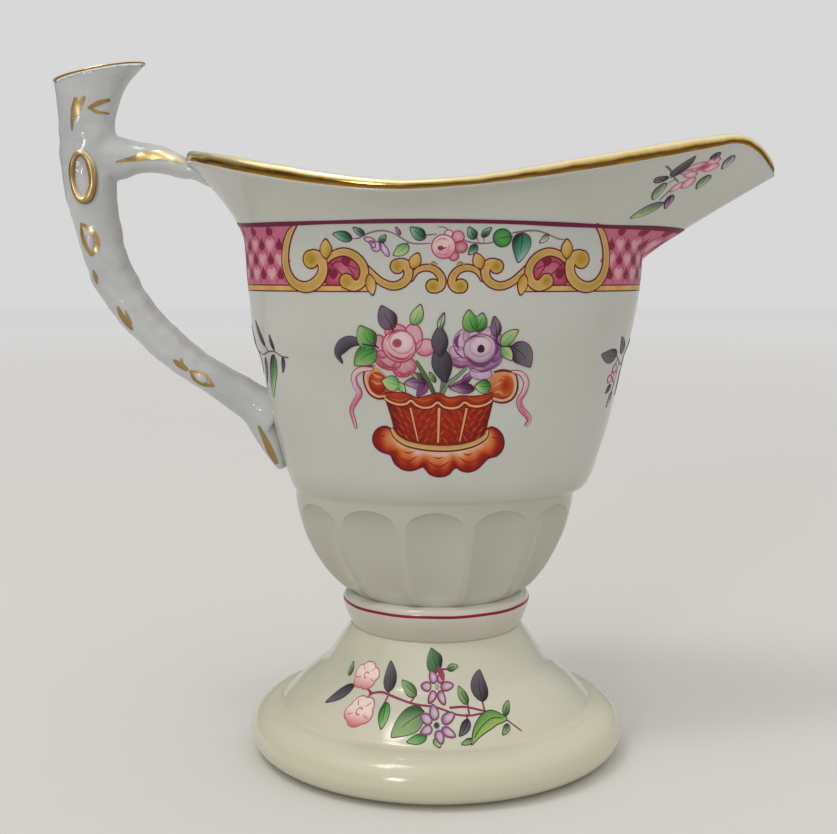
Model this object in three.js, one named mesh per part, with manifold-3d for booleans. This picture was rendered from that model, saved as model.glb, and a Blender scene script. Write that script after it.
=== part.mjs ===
// A porcelain helmet-shaped cream jug: an oval fluted bowl with a spout and a saddle-shaped gilt lip,
// on a round collar and a hollow domed foot, with a crabstock (cut branch) handle.
// Millimetres, +Z up, +X towards the spout. The jug stands on z = 0.

import * as THREE from 'three';
import { mergeVertices } from 'three/addons/utils/BufferGeometryUtils.js';
import Module from 'manifold-3d';

const wasm = await Module();
wasm.setup();

// ---- Driving dimensions -------------------------------------------------------------------------

const FOOT_AXIS_X = 4.0; // the foot's axis: puts the origin under the middle of the whole jug
const JOINT_GAP = 0.3; // between a piece and the neighbour it was cut to fit
const SEGMENTS = 48; // around the bowl, the collar and the foot

const FOOT_TOP = 23.4;
const COLLAR_TOP = 29.8;
const REST_RING = { inner: 27.4, outer: 30.2 };
const FOOT_BEAD = { radius: 34.9, z: 3.8 };
const FOOT_GROOVE = { radius: 29.3, z: 8.9 };

// The bowl's level sections: height, half length, half width and the section's centre along X.
const BOWL_SECTIONS = [
  { z: COLLAR_TOP, a: 15.6, b: 15.6, cx: 0.0 },
  { z: 31.2, a: 17.8, b: 16.9, cx: -0.1 },
  { z: 34.5, a: 20.9, b: 17.7, cx: -0.3 },
  { z: 38.5, a: 23.3, b: 18.2, cx: -0.4 },
  { z: 42.0, a: 24.8, b: 18.4, cx: -0.4 },
  { z: 44.8, a: 25.5, b: 18.6, cx: -0.4 },
  { z: 46.6, a: 25.7, b: 18.6, cx: -0.4 },
  { z: 48.4, a: 25.9, b: 18.7, cx: -0.2 },
  { z: 49.4, a: 27.0, b: 19.3, cx: 0.4 },
  { z: 51.3, a: 28.0, b: 19.9, cx: 0.6 },
  { z: 55.7, a: 29.4, b: 20.4, cx: 0.7 },
  { z: 61.3, a: 31.0, b: 21.0, cx: 0.8 },
  { z: 67.0, a: 32.2, b: 21.4, cx: 0.9 },
  { z: 73.2, a: 33.4, b: 21.9, cx: 1.0 },
  { z: 76.0, a: 34.4, b: 22.3, cx: 1.0 },
  { z: 85.0, a: 35.7, b: 22.6, cx: 1.3 },
  { z: 98.0, a: 36.5, b: 22.8, cx: 1.3 },
];

const FLUTE = { count: 12, depth: 1.5, bottom: 30.6, spring: 43.6, crown: 47.2, crowding: 0.045 };

// The lip in plan is an oval that the spout pinches to a point, and its height is a saddle.
const LIP = { back: -44.4, tip: 60.5, halfWidth: 27.6, pinch: 0.68, pinchPower: 4 };
const SADDLE = { z: 102.6, x: -6, backRise: 0.0093, backPower: 1.8, frontRise: 0.017, frontPower: 1.55 };
const BEAK = { from: 50, droop: 7.2, power: 2.3 };
const LIP_BEAD_RADIUS = 0.85;
const LIP_THICKNESS = 1.8;

const FLARE = { z: 97, lift: 0.35, spoutDrop: 6.5, spoutPower: 6, spoutLift: 0.1, backDrop: 4, backPower: 4 };
const WALL = { thickness: 2.8, floor: 34.5 };
const TRIM_HEIGHT = 12;

// The branch handle, in the plane y = 0: centre, half width in the plane and half depth across it.
const BRANCH = [
  { x: -28.6, z: 60.8, u: 3.8, v: 3.4 },
  { x: -35.6, z: 65.6, u: 3.5, v: 3.3 },
  { x: -41.8, z: 69.5, u: 3.2, v: 3.1 },
  { x: -50.4, z: 75.9, u: 3.4, v: 3.2 },
  { x: -57.0, z: 83.7, u: 3.7, v: 3.4 },
  { x: -60.3, z: 90.3, u: 4.0, v: 3.6 },
  { x: -61.9, z: 96.5, u: 4.2, v: 3.9 },
  { x: -62.9, z: 103.0, u: 4.6, v: 4.3 },
  { x: -63.3, z: 108.0, u: 4.9, v: 4.4 },
  { x: -63.4, z: 112.0, u: 5.0, v: 4.3 },
];

const BRIDGE = [
  { x: -60.0, z: 109.3, u: 4.6, v: 3.4 },
  { x: -57.0, z: 109.2, u: 3.9, v: 3.0 },
  { x: -53.6, z: 109.2, u: 2.8, v: 2.7 },
  { x: -49.6, z: 108.7, u: 2.5, v: 3.0 },
  { x: -45.6, z: 107.7, u: 2.2, v: 4.0 },
  { x: -41.0, z: 105.6, u: 2.0, v: 5.2 },
];

const TAIL = [
  { x: -33.0, z: 63.0, u: 3.4, v: 3.1 },
  { x: -31.4, z: 59.2, u: 2.8, v: 2.8 },
  { x: -29.9, z: 55.6, u: 2.0, v: 2.3 },
  { x: -28.6, z: 52.2, u: 1.0, v: 1.3 },
];

// The horn is the flared, slantwise cut end of the branch, where the thumb rests.
const HORN = [
  { x: -63.4, z: 112.0 + JOINT_GAP, u: 5.0, v: 4.3 },
  { x: -63.4, z: 115.6, u: 5.1, v: 4.2 },
  { x: -63.0, z: 118.8, u: 5.7, v: 4.4 },
  { x: -62.2, z: 121.8, u: 6.7, v: 4.9 },
  { x: -61.2, z: 124.3, u: 7.8, v: 5.4 },
];
const HORN_SLANT = THREE.MathUtils.degToRad(11.5);
const HORN_RIM_RADIUS = 0.5;
const HORN_STEPS = 8;

const KNOT = { x: -63.4, z: 105.6, halfWidth: 1.9, halfHeight: 4.2, proud: 4.1, wire: 0.7 };

// Small gilt twig knots along the branch: place, slope in the plane, half length and half width.
const TWIGS = [
  { x: -62.6, z: 94.9, turn: 100, long: 2.3, wide: 1.2 },
  { x: -61.7, z: 88.6, turn: 110, long: 1.2, wide: 0.8 },
  { x: -56.7, z: 80.6, turn: 125, long: 1.7, wide: 0.9 },
  { x: -47.3, z: 71.9, turn: 140, long: 1.3, wide: 0.8 },
  { x: -42.9, z: 69.3, turn: 150, long: 2.2, wide: 1.1 },
];
const TWIG_PROUD = 0.7;

// ---- Materials ----------------------------------------------------------------------------------

const glaze = () => new THREE.MeshStandardMaterial({ color: 0xd6dbd3, roughness: 0.12, metalness: 0 });
const footGlaze = () => new THREE.MeshStandardMaterial({ color: 0xdbdccd, roughness: 0.12, metalness: 0 });
const gilding = () => new THREE.MeshStandardMaterial({ color: 0xc79a45, roughness: 0.25, metalness: 1 });

// ---- Mesh helpers -------------------------------------------------------------------------------

const TAU = Math.PI * 2;
const DEPTHWISE = new THREE.Vector3(0, 1, 0);
const UPRIGHT = new THREE.Vector3(0, 0, 1);
const STEM_SIDES = 12;

// A skin over rings of equally many points, each wound anticlockwise about the way the rings run.
function skin(rings, closesOnItself = false) {
  const columns = rings[0].length;
  const positions = rings.flat().flatMap((p) => [p.x, p.y, p.z]);
  const index = [];
  const last = closesOnItself ? rings.length : rings.length - 1;
  for (let i = 0; i < last; i++) {
    const next = (i + 1) % rings.length;
    for (let j = 0; j < columns; j++) {
      const k = (j + 1) % columns;
      index.push(i * columns + j, i * columns + k, next * columns + j);
      index.push(i * columns + k, next * columns + k, next * columns + j);
    }
  }
  if (!closesOnItself) {
    cap(rings[0], 0, true);
    cap(rings.at(-1), (rings.length - 1) * columns, false);
  }
  const geometry = new THREE.BufferGeometry();
  geometry.setAttribute('position', new THREE.Float32BufferAttribute(positions, 3));
  geometry.setIndex(index);
  return geometry;

  function cap(ring, first, isStart) {
    const centre = ring.reduce((sum, p) => sum.add(p), new THREE.Vector3()).divideScalar(ring.length);
    const hub = positions.length / 3;
    positions.push(centre.x, centre.y, centre.z);
    for (let j = 0; j < columns; j++) {
      const k = (j + 1) % columns;
      index.push(hub, first + (isStart ? k : j), first + (isStart ? j : k));
    }
  }
}

// Oval rings square to a path in the plane y = 0, whose stations are smoothed by a spline.
function stemRings(stations, steps, grow = 0) {
  const { curve, sizes } = splines(stations);
  return Array.from({ length: steps + 1 }, (_, i) => {
    const across = DEPTHWISE.clone().cross(curve.getTangent(i / steps));
    const size = sizes.getPoint(i / steps);
    return ovalRing(curve.getPoint(i / steps), across, DEPTHWISE, size.x + grow, size.y + grow, STEM_SIDES);
  });
}

function splines(stations) {
  const curve = new THREE.CatmullRomCurve3(stations.map((s) => new THREE.Vector3(s.x, 0, s.z)));
  const sizes = new THREE.CatmullRomCurve3(stations.map((s) => new THREE.Vector3(s.u, s.v, 0)));
  return { curve, sizes };
}

function ovalRing(at, across, depthwise, halfAcross, halfDepth, sides) {
  const ring = [];
  for (let j = 0; j < sides; j++) {
    const angle = (j * TAU) / sides;
    const point = at.clone().addScaledVector(across, halfAcross * Math.cos(angle));
    ring.push(point.addScaledVector(depthwise, halfDepth * Math.sin(angle)));
  }
  return ring;
}

// A round wire along a closed run of points, given the direction that the run goes round.
function hoop(points, axis, radius, sides) {
  const rings = points.map((at, i) => {
    const before = points.at(i - 1);
    const after = points[(i + 1) % points.length];
    const along = after.clone().sub(before).normalize();
    const side = along.clone().cross(axis).normalize();
    const other = along.clone().cross(side);
    return Array.from({ length: sides }, (_, j) => {
      const angle = (j * TAU) / sides;
      const point = at.clone().addScaledVector(side, radius * Math.cos(angle));
      return point.addScaledVector(other, radius * Math.sin(angle));
    });
  });
  return skin(rings, true);
}

function toSolid(geometry) {
  const bare = geometry.clone();
  bare.deleteAttribute('normal');
  bare.deleteAttribute('uv');
  const merged = mergeVertices(bare, 1e-4);
  const vertProperties = new Float32Array(merged.attributes.position.array);
  const triVerts = new Uint32Array(merged.index.array);
  return new wasm.Manifold(new wasm.Mesh({ numProp: 3, vertProperties, triVerts }));
}

function toGeometry(solid) {
  const { vertProperties, triVerts } = solid.getMesh();
  const geometry = new THREE.BufferGeometry();
  geometry.setAttribute('position', new THREE.BufferAttribute(vertProperties, 3));
  geometry.setIndex(new THREE.BufferAttribute(triVerts, 1));
  return geometry;
}

function named(name, geometry, material) {
  const mesh = new THREE.Mesh(geometry, material);
  mesh.name = name;
  return mesh;
}

function lathe(profile) {
  const points = profile.map(([r, z]) => new THREE.Vector2(r, z));
  return new THREE.LatheGeometry(points, SEGMENTS).rotateX(Math.PI / 2);
}

// ---- The bowl's surfaces ------------------------------------------------------------------------

// Angles run anticlockwise from the spout. Flutes crowd together on the oval's flatter sides.
const columnAngle = (j) => {
  const even = (j * TAU) / SEGMENTS;
  return even + FLUTE.crowding * Math.sin(2 * even);
};

function bowlSection(z) {
  const upper = Math.max(1, BOWL_SECTIONS.findIndex((s) => s.z >= z));
  const low = BOWL_SECTIONS[upper - 1];
  const high = BOWL_SECTIONS[upper];
  const t = (z - low.z) / (high.z - low.z);
  const mix = (key) => THREE.MathUtils.lerp(low[key], high[key], t);
  return { a: mix('a'), b: mix('b'), cx: mix('cx') };
}

// How far a flute is scooped in: a shallow round channel under a round arch.
function fluteDepth(j, z) {
  const perFlute = SEGMENTS / FLUTE.count;
  const off = Math.abs((((j + perFlute / 2) % perFlute) + perFlute) % perFlute - perFlute / 2);
  const across = off / (perFlute / 2);
  const arch = Math.sqrt(Math.max(0, 1 - across * across));
  const top = FLUTE.spring + (FLUTE.crown - FLUTE.spring) * arch;
  const rise = THREE.MathUtils.smoothstep(z, FLUTE.bottom, FLUTE.bottom + 4);
  const close = 1 - THREE.MathUtils.smoothstep(z, top - 2.2, top);
  return FLUTE.depth * (1 - across * across) * rise * close;
}

function bowlPoint(j, z, inset, fluted) {
  const { a, b, cx } = bowlSection(z);
  const angle = columnAngle(j);
  const cut = inset + (fluted ? fluteDepth(j, z) : 0);
  return new THREE.Vector3(cx + (a - cut) * Math.cos(angle), (b - cut) * Math.sin(angle), z);
}

function lipHeight(x) {
  const away = Math.abs(x - SADDLE.x);
  const back = SADDLE.backRise * away ** SADDLE.backPower;
  const front = SADDLE.frontRise * away ** SADDLE.frontPower;
  const along = THREE.MathUtils.clamp((x - BEAK.from) / (LIP.tip - BEAK.from), 0, 1);
  return SADDLE.z + (x < SADDLE.x ? back : front) - BEAK.droop * along ** BEAK.power;
}

function lipPlan(angle) {
  const pinch = 1 - LIP.pinch * ((1 + Math.cos(angle)) / 2) ** LIP.pinchPower;
  const x = (LIP.tip + LIP.back) / 2 + ((LIP.tip - LIP.back) / 2) * Math.cos(angle);
  return new THREE.Vector3(x, LIP.halfWidth * Math.sin(angle) * pinch, 0);
}

// A point of the lip's centre line, moved outwards in plan.
function lipPoint(j, outwards, lower) {
  const angle = columnAngle(j);
  const at = lipPlan(angle);
  const along = lipPlan(angle + 0.01).sub(lipPlan(angle - 0.01)).normalize();
  at.z = lipHeight(at.x) - lower;
  return at.add(new THREE.Vector3(along.y, -along.x, 0).multiplyScalar(outwards));
}

// The flare leaves the wall nearly upright and leans out to the lip. The spout starts with a crease.
function flarePoint(j, t, inset, lipShift) {
  const forward = Math.cos(columnAngle(j));
  const spoutward = Math.max(0, forward) ** FLARE.spoutPower;
  const backward = Math.max(0, -forward) ** FLARE.backPower;
  const low = FLARE.z - FLARE.spoutDrop * spoutward - FLARE.backDrop * backward;
  const start = bowlPoint(j, low + inset * spoutward, inset, false);
  const end = lipPoint(j, lipShift, LIP_BEAD_RADIUS + JOINT_GAP);
  const lift = THREE.MathUtils.lerp(FLARE.lift, FLARE.spoutLift, spoutward);
  const bend = start.clone();
  bend.z += lift * (end.z - start.z);
  return new THREE.QuadraticBezierCurve3(start, bend, end).getPoint(t);
}

const ringOf = (pointAt) => Array.from({ length: SEGMENTS }, (_, j) => pointAt(j));

const FLARE_STEPS = [0, 0.25, 0.5, 0.75, 1];
const INNER_LEVELS = [90, 76, 67, 55.7, 48.4, 42, 38.5];

function outerRings(grow, fluted) {
  const levels = BOWL_SECTIONS.map((s) => s.z).filter((z) => z < FLARE.z - FLARE.spoutDrop);
  const wall = levels.map((z) => ringOf((j) => bowlPoint(j, z, -grow, fluted)));
  const flare = FLARE_STEPS.map((t) => ringOf((j) => flarePoint(j, t, -grow, LIP_THICKNESS / 2 + grow)));
  return [...wall, ...flare];
}

function bowl() {
  const lip = [...FLARE_STEPS].reverse();
  const flare = lip.map((t) => ringOf((j) => flarePoint(j, t, WALL.thickness, -LIP_THICKNESS / 2)));
  const wall = INNER_LEVELS.map((z) => ringOf((j) => bowlPoint(j, z, WALL.thickness, false)));
  const floor = ringOf((j) => bowlPoint(j, WALL.floor, WALL.thickness + 5, false));
  const solid = toSolid(skin([...outerRings(0, true), ...flare, ...wall, floor]));
  return toGeometry(solid.subtract(toSolid(lipBead(JOINT_GAP))));
}

// The bowl as a full block that reaches above the lip, to trim what joins it from outside.
function envelopeRings() {
  const rings = outerRings(JOINT_GAP, false);
  const raised = rings.at(-1).map((p) => p.clone().setZ(p.z + TRIM_HEIGHT));
  return [...rings, raised];
}

function lipBead(grow = 0) {
  return hoop(ringOf((j) => lipPoint(j, 0, 0)), UPRIGHT, LIP_BEAD_RADIUS + grow, 8);
}

// ---- Collar and foot ----------------------------------------------------------------------------

function collar() {
  return lathe([
    [0, FOOT_TOP],
    [15.7, FOOT_TOP],
    [16.6, 25.2],
    [17.3, 27.2],
    [17.4, 28.3],
    [17.0, 29.3],
    [16.2, COLLAR_TOP],
    [0, COLLAR_TOP],
  ]);
}

// The foot is one wall, so it is hollow underneath and rests on the flat ring inside its bead.
function foot() {
  return lathe([
    [0, 19.6],
    [12.4, 18.8],
    [16.0, 14.6],
    [20.6, 11.2],
    [25.6, 5.4],
    [REST_RING.inner, 0],
    [REST_RING.outer, 0],
    [32.6, 0.7],
    [34.2, 2.0],
    [FOOT_BEAD.radius, FOOT_BEAD.z],
    [34.4, 6.0],
    [32.7, 7.6],
    [FOOT_GROOVE.radius, FOOT_GROOVE.z],
    [25.6, 12.5],
    [22.6, 14.9],
    [21.0, 16.2],
    [18.7, 19.4],
    [16.9, 22.0],
    [15.9, FOOT_TOP],
    [0, FOOT_TOP],
  ]);
}

// ---- Handle -------------------------------------------------------------------------------------

const BRANCH_STEPS = 22;

const bowlEnvelope = toSolid(skin(envelopeRings()));
const branchEnvelope = toSolid(skin(stemRings(BRANCH, BRANCH_STEPS, JOINT_GAP)));
const hornEnvelope = toSolid(skin(hornRings(JOINT_GAP)));
const fullBranch = toSolid(skin(stemRings(BRANCH, BRANCH_STEPS)));

const branch = () => toGeometry(fullBranch.subtract(bowlEnvelope));

// The horn's rings start level and turn to the slant of its cut end.
function hornRings(grow = 0) {
  const { curve, sizes } = splines(HORN);
  return Array.from({ length: HORN_STEPS + 1 }, (_, i) => {
    const share = i / HORN_STEPS;
    const slant = HORN_SLANT * share;
    const across = new THREE.Vector3(Math.cos(slant), 0, Math.sin(slant));
    const size = sizes.getPoint(share);
    return ovalRing(curve.getPoint(share), across, DEPTHWISE, size.x + grow, size.y + grow, STEM_SIDES);
  });
}

function hornRim() {
  const edge = hornRings().at(-1).map((p) => p.setZ(p.z + HORN_RIM_RADIUS + JOINT_GAP));
  return hoop(edge, UPRIGHT, HORN_RIM_RADIUS, 6);
}

// A stem that starts on the branch and is trimmed to its neighbours.
function fitted(stations, steps) {
  const solid = toSolid(skin(stemRings(stations, steps)));
  return toGeometry(solid.subtract(branchEnvelope).subtract(hornEnvelope).subtract(bowlEnvelope));
}

// The oval knot on each face of the branch: a gilt hoop round a pale boss.
function knotHoop(side) {
  const steps = 24;
  const points = Array.from({ length: steps }, (_, i) => {
    const angle = (i * TAU) / steps;
    const x = KNOT.x + KNOT.halfWidth * Math.cos(angle);
    const bulge = Math.cos(angle) * 0.5;
    return new THREE.Vector3(x, side * (KNOT.proud + bulge), KNOT.z + KNOT.halfHeight * Math.sin(angle));
  });
  return toGeometry(toSolid(hoop(points, DEPTHWISE, KNOT.wire, 6)).subtract(branchEnvelope));
}

function pebble(halfLong, halfThick, halfWide) {
  return new THREE.SphereGeometry(1, 12, 8).scale(halfLong, halfThick, halfWide);
}

function knotBoss(side) {
  const room = KNOT.wire + JOINT_GAP;
  const shape = pebble(KNOT.halfWidth - room, 1.5, KNOT.halfHeight - room);
  shape.translate(KNOT.x, side * (KNOT.proud - 0.2), KNOT.z);
  return toGeometry(toSolid(shape).subtract(branchEnvelope));
}

function twig({ x, z, turn, long, wide }, side) {
  const shape = pebble(long, 2, wide).rotateY(-THREE.MathUtils.degToRad(turn));
  shape.translate(x, side * (branchDepthAt(x, z) + TWIG_PROUD - 2), z);
  return toGeometry(toSolid(shape).subtract(branchEnvelope));
}

function branchDepthAt(x, z) {
  const distance = (s) => Math.hypot(s.x - x, s.z - z);
  return BRANCH.reduce((best, s) => (distance(s) < distance(best) ? s : best)).v;
}

// ---- The jug ------------------------------------------------------------------------------------

const jug = new THREE.Group();
jug.position.x = FOOT_AXIS_X;

jug.add(named('pedestal_foot', foot(), footGlaze()));
jug.add(named('foot_collar', collar(), glaze()));
jug.add(named('bowl', bowl(), glaze()));
jug.add(named('gilt_lip_bead', lipBead(), gilding()));
jug.add(named('handle_branch', branch(), glaze()));
jug.add(named('handle_bridge', fitted(BRIDGE, 10), glaze()));
jug.add(named('handle_tail', fitted(TAIL, 8), glaze()));
jug.add(named('handle_horn', skin(hornRings()), glaze()));
jug.add(named('horn_gilt_rim', hornRim(), gilding()));
for (const [face, side] of [['near', -1], ['far', 1]]) {
  jug.add(named(`knot_hoop_${face}`, knotHoop(side), gilding()));
  jug.add(named(`knot_boss_${face}`, knotBoss(side), glaze()));
  TWIGS.forEach((shape, i) => {
    jug.add(named(`twig_knot_${face}_${i + 1}`, twig(shape, side), gilding()));
  });
}

export default jug;
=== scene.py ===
"""A porcelain cream jug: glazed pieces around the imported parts, with painted enamels and gilding.

Shapes are worked out in millimetres about the foot's axis, with +X towards the spout and the near
face at -Y, and are turned into metres of the part's own frame when a mesh is made.
"""

import math

import bpy
import numpy as np
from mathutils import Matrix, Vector, noise
from mathutils.bvhtree import BVHTree


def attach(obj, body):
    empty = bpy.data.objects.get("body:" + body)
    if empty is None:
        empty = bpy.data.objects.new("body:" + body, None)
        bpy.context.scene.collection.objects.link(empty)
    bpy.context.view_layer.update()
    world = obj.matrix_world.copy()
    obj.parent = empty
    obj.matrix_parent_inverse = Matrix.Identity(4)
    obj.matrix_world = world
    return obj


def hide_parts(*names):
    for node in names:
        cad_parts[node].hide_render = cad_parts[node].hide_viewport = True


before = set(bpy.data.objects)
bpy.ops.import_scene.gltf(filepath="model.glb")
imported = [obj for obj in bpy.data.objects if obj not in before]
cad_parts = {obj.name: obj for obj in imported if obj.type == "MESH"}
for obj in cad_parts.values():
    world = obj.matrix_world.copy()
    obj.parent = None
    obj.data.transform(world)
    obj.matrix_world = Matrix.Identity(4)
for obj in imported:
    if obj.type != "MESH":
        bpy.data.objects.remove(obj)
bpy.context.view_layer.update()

# ---- The jug's dimensions -----------------------------------------------------------------------

MM = 0.001
FOOT_AXIS_X = 4.0
FOOT_TOP = 23.4
COLLAR_TOP = 29.8

# Level sections of the bowl: height, half length, half width, centre along X.
SECTIONS = np.array([
    (29.8, 15.6, 15.6, 0.0),
    (31.2, 17.8, 16.9, -0.1),
    (34.5, 20.9, 17.7, -0.3),
    (38.5, 23.3, 18.2, -0.4),
    (42.0, 24.8, 18.4, -0.4),
    (44.8, 25.5, 18.6, -0.4),
    (46.6, 25.7, 18.6, -0.4),
    (48.4, 25.9, 18.7, -0.2),
    (49.4, 27.0, 19.3, 0.4),
    (51.3, 28.0, 19.9, 0.6),
    (55.7, 29.4, 20.4, 0.7),
    (61.3, 31.0, 21.0, 0.8),
    (67.0, 32.2, 21.4, 0.9),
    (73.2, 33.4, 21.9, 1.0),
    (76.0, 34.4, 22.3, 1.0),
    (85.0, 35.7, 22.6, 1.3),
    (98.0, 36.5, 22.8, 1.3),
])
FLUTES = 12
FLUTE_DEPTH = 1.5
FLUTE_BOTTOM, FLUTE_SPRING, FLUTE_CROWN = 30.2, 43.6, 47.2
FLUTE_EDGE = 0.88
CROWDING = 0.045

LIP_BACK, LIP_TIP, LIP_HALF_WIDTH = -44.4, 60.5, 27.6
LIP_PINCH, LIP_PINCH_POWER = 0.68, 4
SADDLE_Z, SADDLE_X = 102.6, -6.0
BACK_RISE, BACK_RISE_POWER = 0.0093, 1.8
FRONT_RISE, FRONT_RISE_POWER = 0.017, 1.55
BEAK_FROM, BEAK_DROOP, BEAK_POWER = 50.0, 7.2, 2.3
LIP_BEAD = 0.85
LIP_THICKNESS = 1.8

FLARE_Z, SPOUT_DROP, SPOUT_POWER = 97.0, 6.5, 6
BACK_DROP, BACK_POWER = 4.0, 4
FLARE_LIFT, SPOUT_LIFT = 0.35, 0.1
WALL = 2.8
WALL_FLOOR = 34.5

COLLAR = [(12.0, 23.0), (15.7, 23.4), (16.6, 25.2), (17.3, 27.2), (17.4, 28.3), (17.0, 29.3), (16.2, 29.8),
          (12.0, 29.9)]
FOOT_OUTSIDE = [(34.87, 3.8), (34.5, 5.8), (33.4, 7.3), (31.7, 8.4), (30.5, 8.74), (29.7, 8.82),
                (29.0, 9.1), (28.0, 10.1),
                (25.6, 12.5), (22.6, 14.9), (21.0, 16.2), (18.7, 19.4), (16.9, 22.0), (15.9, 23.4)]
FOOT_BEAD = [(30.2, 0.0), (32.6, 0.7), (34.2, 2.0)]
FOOT_INSIDE = [(27.4, 0.0), (25.6, 5.4), (20.6, 11.2), (16.0, 14.6), (12.4, 18.8), (0.5, 19.6)]

# Stems in the plane of the handle: along X, height, half width in the plane, half depth across it.
BRANCH = [(-29.6, 61.4, 4.4, 4.0), (-35.6, 65.6, 3.5, 3.3), (-41.8, 69.5, 3.2, 3.1),
          (-50.4, 75.9, 3.4, 3.2),
          (-57.0, 83.7, 3.7, 3.4), (-60.3, 90.3, 4.0, 3.6), (-61.9, 96.5, 4.2, 3.9),
          (-62.9, 103.0, 4.6, 4.3),
          (-63.3, 108.0, 4.9, 4.4), (-63.4, 112.0, 5.0, 4.3)]
BRIDGE = [(-62.0, 109.3, 4.6, 3.4), (-57.0, 109.2, 3.7, 3.0), (-53.6, 109.2, 2.8, 2.7),
          (-49.6, 108.7, 2.5, 3.0),
          (-45.6, 107.3, 1.9, 3.4), (-43.0, 106.3, 1.2, 3.6), (-40.6, 104.4, 0.5, 3.6)]
TAIL = [(-33.0, 63.0, 3.4, 3.1), (-31.4, 59.2, 2.8, 2.8), (-29.9, 55.6, 2.0, 2.3), (-28.6, 52.2, 1.0, 1.3)]
HORN = [(-63.4, 111.0, 5.0, 4.3), (-63.4, 115.6, 5.1, 4.2), (-63.0, 118.8, 5.7, 4.4),
        (-62.2, 121.8, 6.7, 4.9),
        (-60.9, 124.3, 8.45, 5.7)]
HORN_SLANT = math.radians(11.5)
HORN_RIM = 0.5
KNOT_X, KNOT_Z, KNOT_HALF_WIDTH, KNOT_HALF_HEIGHT, KNOT_PROUD = -63.4, 105.6, 1.9, 4.2, 4.1
KNOT_WIRE = 0.7

TAU = 2 * math.pi


# ---- Curves and the bowl's surface --------------------------------------------------------------

def smoothstep(x, low, high):
    t = np.clip((x - low) / (high - low), 0, 1)
    return t * t * (3 - 2 * t)


def mix(a, b, t):
    t = np.asarray(t, float)[..., None]
    return np.asarray(a) * (1 - t) + np.asarray(b) * t


def curve(points, count, closed=False):
    """A smooth curve through the points, evenly sampled by its chords. Further columns ride along."""
    p = np.array(points, float)
    q = np.vstack([p[-1:], p, p[:2]]) if closed else np.vstack([2 * p[0] - p[1], p, 2 * p[-1] - p[-2]])
    chord = np.maximum(np.linalg.norm(np.diff(q[:, :2], axis=0), axis=1), 1e-6)
    knot = np.sqrt(chord)[:, None]
    run = np.concatenate([[0], np.cumsum(chord[1:-1])])
    at = np.linspace(0, run[-1], count + 1)[:-1] if closed else np.linspace(0, run[-1], count)
    i = np.clip(np.searchsorted(run, at, side="right") - 1, 0, len(run) - 2)
    f = ((at - run[i]) / (run[i + 1] - run[i]))[:, None]
    slope = np.diff(q, axis=0) / knot
    lean = slope[:-1] - (q[2:] - q[:-2]) / (knot[:-1] + knot[1:]) + slope[1:]
    start, end = lean[i] * knot[i + 1], lean[i + 1] * knot[i + 1]
    return (q[i + 1] * (1 + 2 * f) * (1 - f) ** 2 + start * f * (1 - f) ** 2
            + q[i + 2] * f * f * (3 - 2 * f) + end * f * f * (f - 1))


def through(xs, ys, x):
    """A cubic through the points that never overshoots them."""
    h = np.diff(xs)
    d = np.diff(ys) / h
    m = np.zeros(len(xs))
    m[0], m[-1] = d[0], d[-1]
    w1, w2 = 2 * h[1:] + h[:-1], h[1:] + 2 * h[:-1]
    with np.errstate(divide="ignore", invalid="ignore"):
        m[1:-1] = np.where(d[:-1] * d[1:] > 0, (w1 + w2) / (w1 / d[:-1] + w2 / d[1:]), 0)
    i = np.clip(np.searchsorted(xs, x) - 1, 0, len(xs) - 2)
    t = (x - xs[i]) / h[i]
    return (ys[i] * (1 + 2 * t) * (1 - t) ** 2 + m[i] * h[i] * t * (1 - t) ** 2
            + ys[i + 1] * t * t * (3 - 2 * t) + m[i + 1] * h[i] * t * t * (t - 1))


def turn(even):
    """The section's angle at an even turn round the bowl: flutes crowd on the flatter sides."""
    return even + CROWDING * np.sin(2 * even)


def wall(angle, z, inset=0.0):
    a, b, cx = (through(SECTIONS[:, 0], SECTIONS[:, k], z) for k in (1, 2, 3))
    x, y = cx + (a - inset) * np.cos(angle), (b - inset) * np.sin(angle)
    return np.stack([x, y, z + 0 * angle], -1)


def lip(angle, outwards=0.0, lower=0.0):
    """A point of the lip's centre line, moved outwards in plan and down."""
    def plan(angle):
        pinch = 1 - LIP_PINCH * ((1 + np.cos(angle)) / 2) ** LIP_PINCH_POWER
        x = (LIP_TIP + LIP_BACK) / 2 + (LIP_TIP - LIP_BACK) / 2 * np.cos(angle)
        return x, LIP_HALF_WIDTH * np.sin(angle) * pinch

    x, y = plan(angle)
    (xa, ya), (xb, yb) = plan(angle + 0.01), plan(angle - 0.01)
    size = np.hypot(xa - xb, ya - yb)
    away = np.abs(x - SADDLE_X)
    rise = np.where(x < SADDLE_X, BACK_RISE * away ** BACK_RISE_POWER,
                    FRONT_RISE * away ** FRONT_RISE_POWER)
    beak = np.clip((x - BEAK_FROM) / (LIP_TIP - BEAK_FROM), 0, 1)
    z = SADDLE_Z + rise - BEAK_DROOP * beak ** BEAK_POWER - lower
    return np.stack([x + outwards * (ya - yb) / size, y - outwards * (xa - xb) / size, z], -1)


def flare_span(angle, inset=0.0, shift=LIP_THICKNESS / 2):
    """Where the flare leaves the wall, where it meets the lip, and how upright it starts."""
    spoutward = np.maximum(0, np.cos(angle)) ** SPOUT_POWER
    backward = np.maximum(0, -np.cos(angle)) ** BACK_POWER
    start = wall(angle, FLARE_Z + (inset - SPOUT_DROP) * spoutward - BACK_DROP * backward, inset)
    return start, lip(angle, shift, LIP_BEAD), FLARE_LIFT + (SPOUT_LIFT - FLARE_LIFT) * spoutward


def flare(angle, t, **how):
    start, end, lift = flare_span(angle, **how)
    bend = start.copy()
    bend[..., 2] += lift * (end - start)[..., 2]
    t = np.asarray(t)[..., None]
    return start * (1 - t) ** 2 + bend * 2 * t * (1 - t) + end * t * t


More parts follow.
